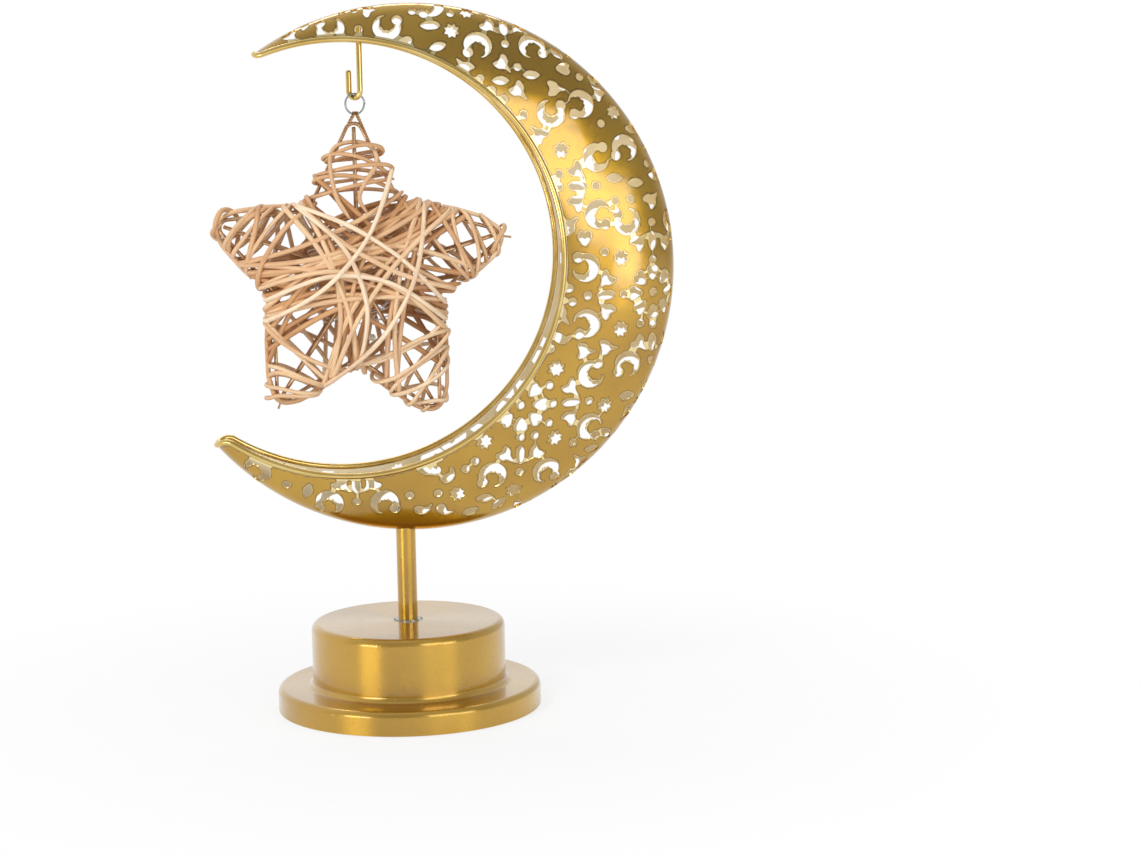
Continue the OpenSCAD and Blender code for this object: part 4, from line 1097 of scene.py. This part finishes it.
def tipPath(i, rng):
    low = rng.uniform(*tipRun["start"])
    grow = rng.uniform(*tipRun["side"])
    tip, r = armPoint(i, star["tipCentre"]), star["tipWire"] + tipRun["tipGap"]
    heading, count = star["armAngles"][i], tipRun["points"]
    plan = [armSide(i, -1, t) + polar(heading - 90, grow) for t in np.linspace(low, tipRun["end"], count)]
    plan += [tip + polar(heading + a, r) for a in np.linspace(-tipRun["round"], tipRun["round"], count)]
    plan += [armSide(i, 1, t) + polar(heading + 90, grow) for t in np.linspace(tipRun["end"], low, count)]
    lean, phase = rng.uniform(*tipRun["lean"]), rng.uniform(0, 6)
    path = [(p[0], p[1], lean * math.sin(phase + tipRun["wave"] * k)) for k, p in enumerate(plan)]
    return smoothed(resampled(np.array(path), tipRun["gap"]), 3)


# Strands that cross the body again and again, in mm. The bow is for a run of bowSpan
body = {
    "strands": 8, "runs": 9, "tries": 60, "miss": 25, "closest": 26, "leastRun": 2.5,
    "spans": (22, 92), "within": 53, "past": (0.3, 1.9), "pastStart": 0.8, "bows": (7.0, 13.0),
    "bowSpan": 55, "middle": 13, "pointGap": 1.8, "leastPoints": 14, "skin": 5.6, "dome": 6.4,
    "domeRadius": 44, "layers": 5.2, "layerShare": (0.45, 1.0), "roundEdge": 0.55,
}


def starBorder():
    corners = []
    for i in range(5):
        corners += [armSide(i, -1, 0), armSide(i, -1, 1), armSide(i, 1, 1)]
    return np.array(corners)


def reachFrom(start, way, border):
    # How far a straight strand runs from a place on the border until it leaves the star
    best = math.inf
    for a, b in zip(border, np.roll(border, -1, 0)):
        side = b - a
        cross = way[0] * side[1] - way[1] * side[0]
        if abs(cross) < 1e-6:
            continue
        gap = a - start
        t = (gap[0] * side[1] - gap[1] * side[0]) / cross
        u = (gap[0] * way[1] - gap[1] * way[0]) / cross
        if t > body["leastRun"] and -0.001 <= u <= 1.001:
            best = min(best, t)
    return best


def nextCorner(spot, rng, border):
    # A place across the star, on a line that misses its middle by some way
    for _ in range(body["tries"]):
        miss = rng.uniform(-body["miss"], body["miss"])
        turn = math.atan2(-spot[1], -spot[0]) + math.asin(miss / max(np.linalg.norm(spot), body["closest"]))
        heading = np.array((math.cos(turn), math.sin(turn)))
        span = reachFrom(spot, heading, border)
        there = spot + heading * span
        if body["spans"][0] < span < body["spans"][1] and np.linalg.norm(there) < body["within"]:
            return there, span
    return None, 0


def bodyPath(rng, layer, bow):
    # One strand that goes over one face, round the edge and back over the other face
    border = starBorder()
    spot = armSide(rng.randrange(5), rng.choice((-1, 1)), rng.uniform(0, 0.35))
    way = rng.choice((-1, 1))
    path = []
    for _ in range(body["runs"]):
        best, span = nextCorner(spot, rng, border)
        if best is None:
            break
        there = best + unit(best) * rng.uniform(*body["past"])
        here = spot + unit(spot) * body["pastStart"]
        across = unit(np.array((-(there - here)[1], (there - here)[0])))
        mid = (here + there) / 2
        inward = 1 if np.dot(across, mid) < 0 else -1
        side = rng.uniform(0.3, 1) * bow * span / body["bowSpan"]
        side *= inward if np.linalg.norm(mid) > body["middle"] else rng.choice((-1, 1))
        steps = max(int(span / body["pointGap"]), body["leastPoints"])
        rise = layer * rng.uniform(*body["layerShare"])
        for k in range(steps):
            a = math.pi * (k + 0.5) / steps
            u = (1 - swung(math.cos(a), body["roundEdge"])) / 2
            p = here + (there - here) * u + across * side * math.sin(math.pi * u)
            dome = body["dome"] * max(0, 1 - (np.linalg.norm(p) / body["domeRadius"]) ** 2)
            out = body["skin"] + dome + rise
            path.append((p[0], p[1], way * out * math.sin(a) ** body["roundEdge"]))
        spot, way = best, -way
    return np.array(path)


# Rattan strand, in mm: thickness, how far it swells and thins, tones from 0 (dark) to 1 (pale), and the
# painted shade that makes the crossing strands darker the deeper their layer lies
winding = {
    "seed": 5, "strand": 2.12, "sides": 9, "swell": (0.82, 1.06), "wave": 0.06, "end": 0.55,
    "endPoints": 4, "points": 1.35, "wrapTones": (0.25, 0.9), "tipTones": (0.3, 0.95),
    "loopTone": 0.6, "paintedShadeInnerTone": 0.1, "paintedShadeOuterLift": 0.6, "toneSpread": (-0.2, 0.3),
}


def strandRadii(count, rng):
    swell = rng.uniform(*winding["swell"]) * winding["strand"] / 2
    at = np.arange(count)
    wave = 1 + winding["wave"] * np.sin(at * rng.uniform(0.1, 0.3) + rng.uniform(0, 6))
    ends = np.minimum(at, at[::-1]) / winding["endPoints"]
    return swell * wave * np.clip(winding["end"] + (1 - winding["end"]) * ends, 0, 1)


def makeWinding(material):
    rng = random.Random(winding["seed"])
    arms, crossing = [], []
    for i in range(5):
        for _ in range(wrap["strands"][i]):
            arms.append((wrapPath(i, rng) if i else topPath(rng), rng.uniform(*winding["wrapTones"])))
        if i:
            arms.append((tipPath(i, rng), rng.uniform(*winding["tipTones"])))
    arms.append((resampled(np.array(topArm["loop"]), topArm["loopGap"]), winding["loopTone"]))
    for k in range(body["strands"]):
        share = (k + 1) / body["strands"]
        path = bodyPath(rng, body["layers"] * share, body["bows"][k % 2])
        # Painted shade: the deeper a crossing strand's layer, the darker its tone, with a random spread on
        # top
        tone = winding["paintedShadeInnerTone"] + winding["paintedShadeOuterLift"] * share + rng.uniform(*winding["toneSpread"])
        crossing.append((path, min(tone, 1)))
    for name, strands in (("armWinding", arms), ("bodyWinding", crossing)):
        done = [starPlace(smoothed(resampled(smoothed(p, 2), winding["points"]), 2)) for p, _ in strands]
        radii = [strandRadii(len(p), rng) for p in done]
        piece = tubePiece(name, done, radii, winding["sides"], material, tones=[tone for _, tone in strands])
        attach(piece, "star")
        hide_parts("rattan_winding")
        print(name, len(strands), "strands", len(piece.data.polygons), "faces")


def armOutline(i):
    # From one notch round the arm's tip to the next, with the tip's arc tangent to both sides
    tip, r = armPoint(i, star["tipCentre"]), star["tipWire"]
    right, left = (notch(k) - star["notchInset"] * unit(notch(k)) for k in (i, i + 1))
    turns = []
    for side, root in ((-1, right), (1, left)):
        lean = math.degrees(math.acos(r / np.linalg.norm(root - tip)))
        turns.append(angleOf(root - tip) - side * lean)
    span = (turns[1] - turns[0]) % 360
    arc = [tip + polar(turns[0] + span * k / 16, r) for k in range(17)]
    out = [right + (arc[0] - right) * k / 12 for k in range(1, 12)]
    back = [arc[-1] + (left - arc[-1]) * k / 12 for k in range(1, 12)]
    return [(*p, 0) for p in out + arc + back + [left]]


# Cut ends of wire that stand out at the tips: arm, turn from the arm in degrees, length in mm
wireEnds = {
    "ends": ((4, -14, 5.2), (2, 8, 4.6), (4, 22, 3.4)),
    "radius": 0.45, "sides": 8, "bend": 1.6, "out": 0.6, "foot": 0.2,
}


def makeFrame(material):
    outline = [p for i in range(5) for p in armOutline(i)]
    ribs = []
    for i in range(5):
        along = np.linspace(0.3, ribReach(i), 26)
        for side in (-1, 1):
            ribs.append(starPlace([(*polar(star["armAngles"][i], a), side * ribHeight(i, a)) for a in along]))
    stubs = []
    for i, turn, length in wireEnds["ends"]:
        foot = armPoint(i, star["tipCentre"])
        foot = foot + polar(star["armAngles"][i] + turn, star["tipWire"] + wireEnds["foot"])
        heading = star["armAngles"][i] + turn * wireEnds["bend"]
        path = [(*(foot + polar(heading, length * t)), wireEnds["out"] * t) for t in np.linspace(0, 1, 6)]
        stubs.append(starPlace(path))
    radius, sides = star["frameWire"] / 2, star["frameSides"]
    pieces = [
        tubePiece("frameOutline", [starPlace(outline)], radius, sides, material, closed=True),
        tubePiece("frameRibs", ribs, radius, sides, material),
        tubePiece("wireEnds", stubs, wireEnds["radius"], wireEnds["sides"], material),
    ]
    for piece in pieces:
        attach(piece, "star")
        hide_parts("star_frame")


# Light wire that wanders inside the star, in mm. The beads are the CAD node's own
lights = {
    "seed": 3, "runs": 4, "bends": 13, "turn": (0.5, 1.5), "reach": (5, 27), "depth": 4.5,
    "gap": 2.0, "radius": 0.26,
}


def makeLights(material):
    rng = random.Random(lights["seed"])
    paths = []
    for _ in range(lights["runs"]):
        points = []
        a = rng.uniform(0, 6.3)
        for _ in range(lights["bends"]):
            a += rng.uniform(*lights["turn"])
            r = rng.uniform(*lights["reach"])
            points.append((r * math.cos(a), r * math.sin(a), rng.uniform(-lights["depth"], lights["depth"])))
        paths.append(starPlace(smoothed(resampled(np.array(points), lights["gap"]), 4)))
    piece = tubePiece("lightWire", paths, lights["radius"], 6, material)
    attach(piece, "star")
    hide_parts("led_wire")


# Split ring between the hook and the star: two turns of wire side by side, in mm and degrees
hanger = {"radius": 4.25, "wire": 0.36, "turn": 20.0, "pitch": 0.74, "points": 96, "sides": 12}
upward = np.array((0, 0, 1))


def levelWays(degrees):
    # Two level directions at right angles, turned about the upright
    turn = math.radians(degrees)
    return np.array((math.cos(turn), math.sin(turn), 0)), np.array((-math.sin(turn), math.cos(turn), 0))


def makeRing(material):
    low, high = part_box("hanger_ring")
    middle = (np.array(low) + np.array(high)) / 2 / mm
    ahead, axis = levelWays(hanger["turn"])
    path = []
    for k in range(hanger["points"] + 1):
        a = 4 * math.pi * k / hanger["points"]
        side = hanger["pitch"] * (k / hanger["points"] - 0.5)
        path.append(middle + hanger["radius"] * (math.cos(a) * ahead + math.sin(a) * upward) + side * axis)
    piece = tubePiece("splitRing", [np.array(path)], hanger["wire"], hanger["sides"], material)
    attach(piece, "ring")
    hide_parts("hanger_ring")


# Ties from the ring down to the frame, in mm: two hairpins, each of two thin wires twisted together
ties = {
    "seat": (-16.4, 0.0, 254.16),
    "side": 0.65, "bend": 1.01, "foot": (6.4, 2.0), "footZ": 242.6, "wire": 0.28, "sides": 8,
    "lead": 0.24, "twists": 5, "legPoints": 60, "bendPoints": 16,
}


def makeTies(material):
    ahead, axis = levelWays(hanger["turn"])
    lead = ties["lead"]
    paths = []
    for side in (-1, 1):
        top = np.array(ties["seat"]) + side * ties["side"] * ahead
        for m in (-1, 1):
            start = top + m * ties["bend"] * axis
            end = np.array((star["centre"][0] + side * ties["foot"][0], m * ties["foot"][1], ties["footZ"]))
            for strand in range(2):
                path = []
                for t in np.arange(ties["legPoints"]) / (ties["legPoints"] - 1):
                    a = 2 * math.pi * ties["twists"] * t + math.pi * strand
                    path.append(start + (end - start) * t + lead * np.array((math.cos(a), math.sin(a), 0)))
                paths.append(np.array(path))
        turns = [math.pi * k / ties["bendPoints"] for k in range(ties["bendPoints"] + 1)]
        hoop = np.array([top + ties["bend"] * (math.cos(a) * axis + math.sin(a) * upward) for a in turns])
        paths += [hoop + off * ahead for off in (-lead, lead)]
    piece = tubePiece("tieWires", paths, ties["wire"], ties["sides"], material)
    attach(piece, "star")
    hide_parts("star_ties")


setCamera()
setWorld()
makeFloor()
setLamps()
finishes = dressNodes()
print("nodes dressed")
makeSheet("frontSheet", "crescent_front", 1, (0, 0), finishes, 1)
makeSheet("rearSheet", "crescent_rear", -1, pattern["rearShift"], finishes, 2)
makeRim(finishes["gold_bright"])
print("crescent made")
makeWinding(finishes["rattan"])
makeFrame(finishes["iron_wire"])
makeLights(finishes["silver_wire"])
makeRing(finishes["nickel"])
makeTies(finishes["iron_wire"])
print("star made")
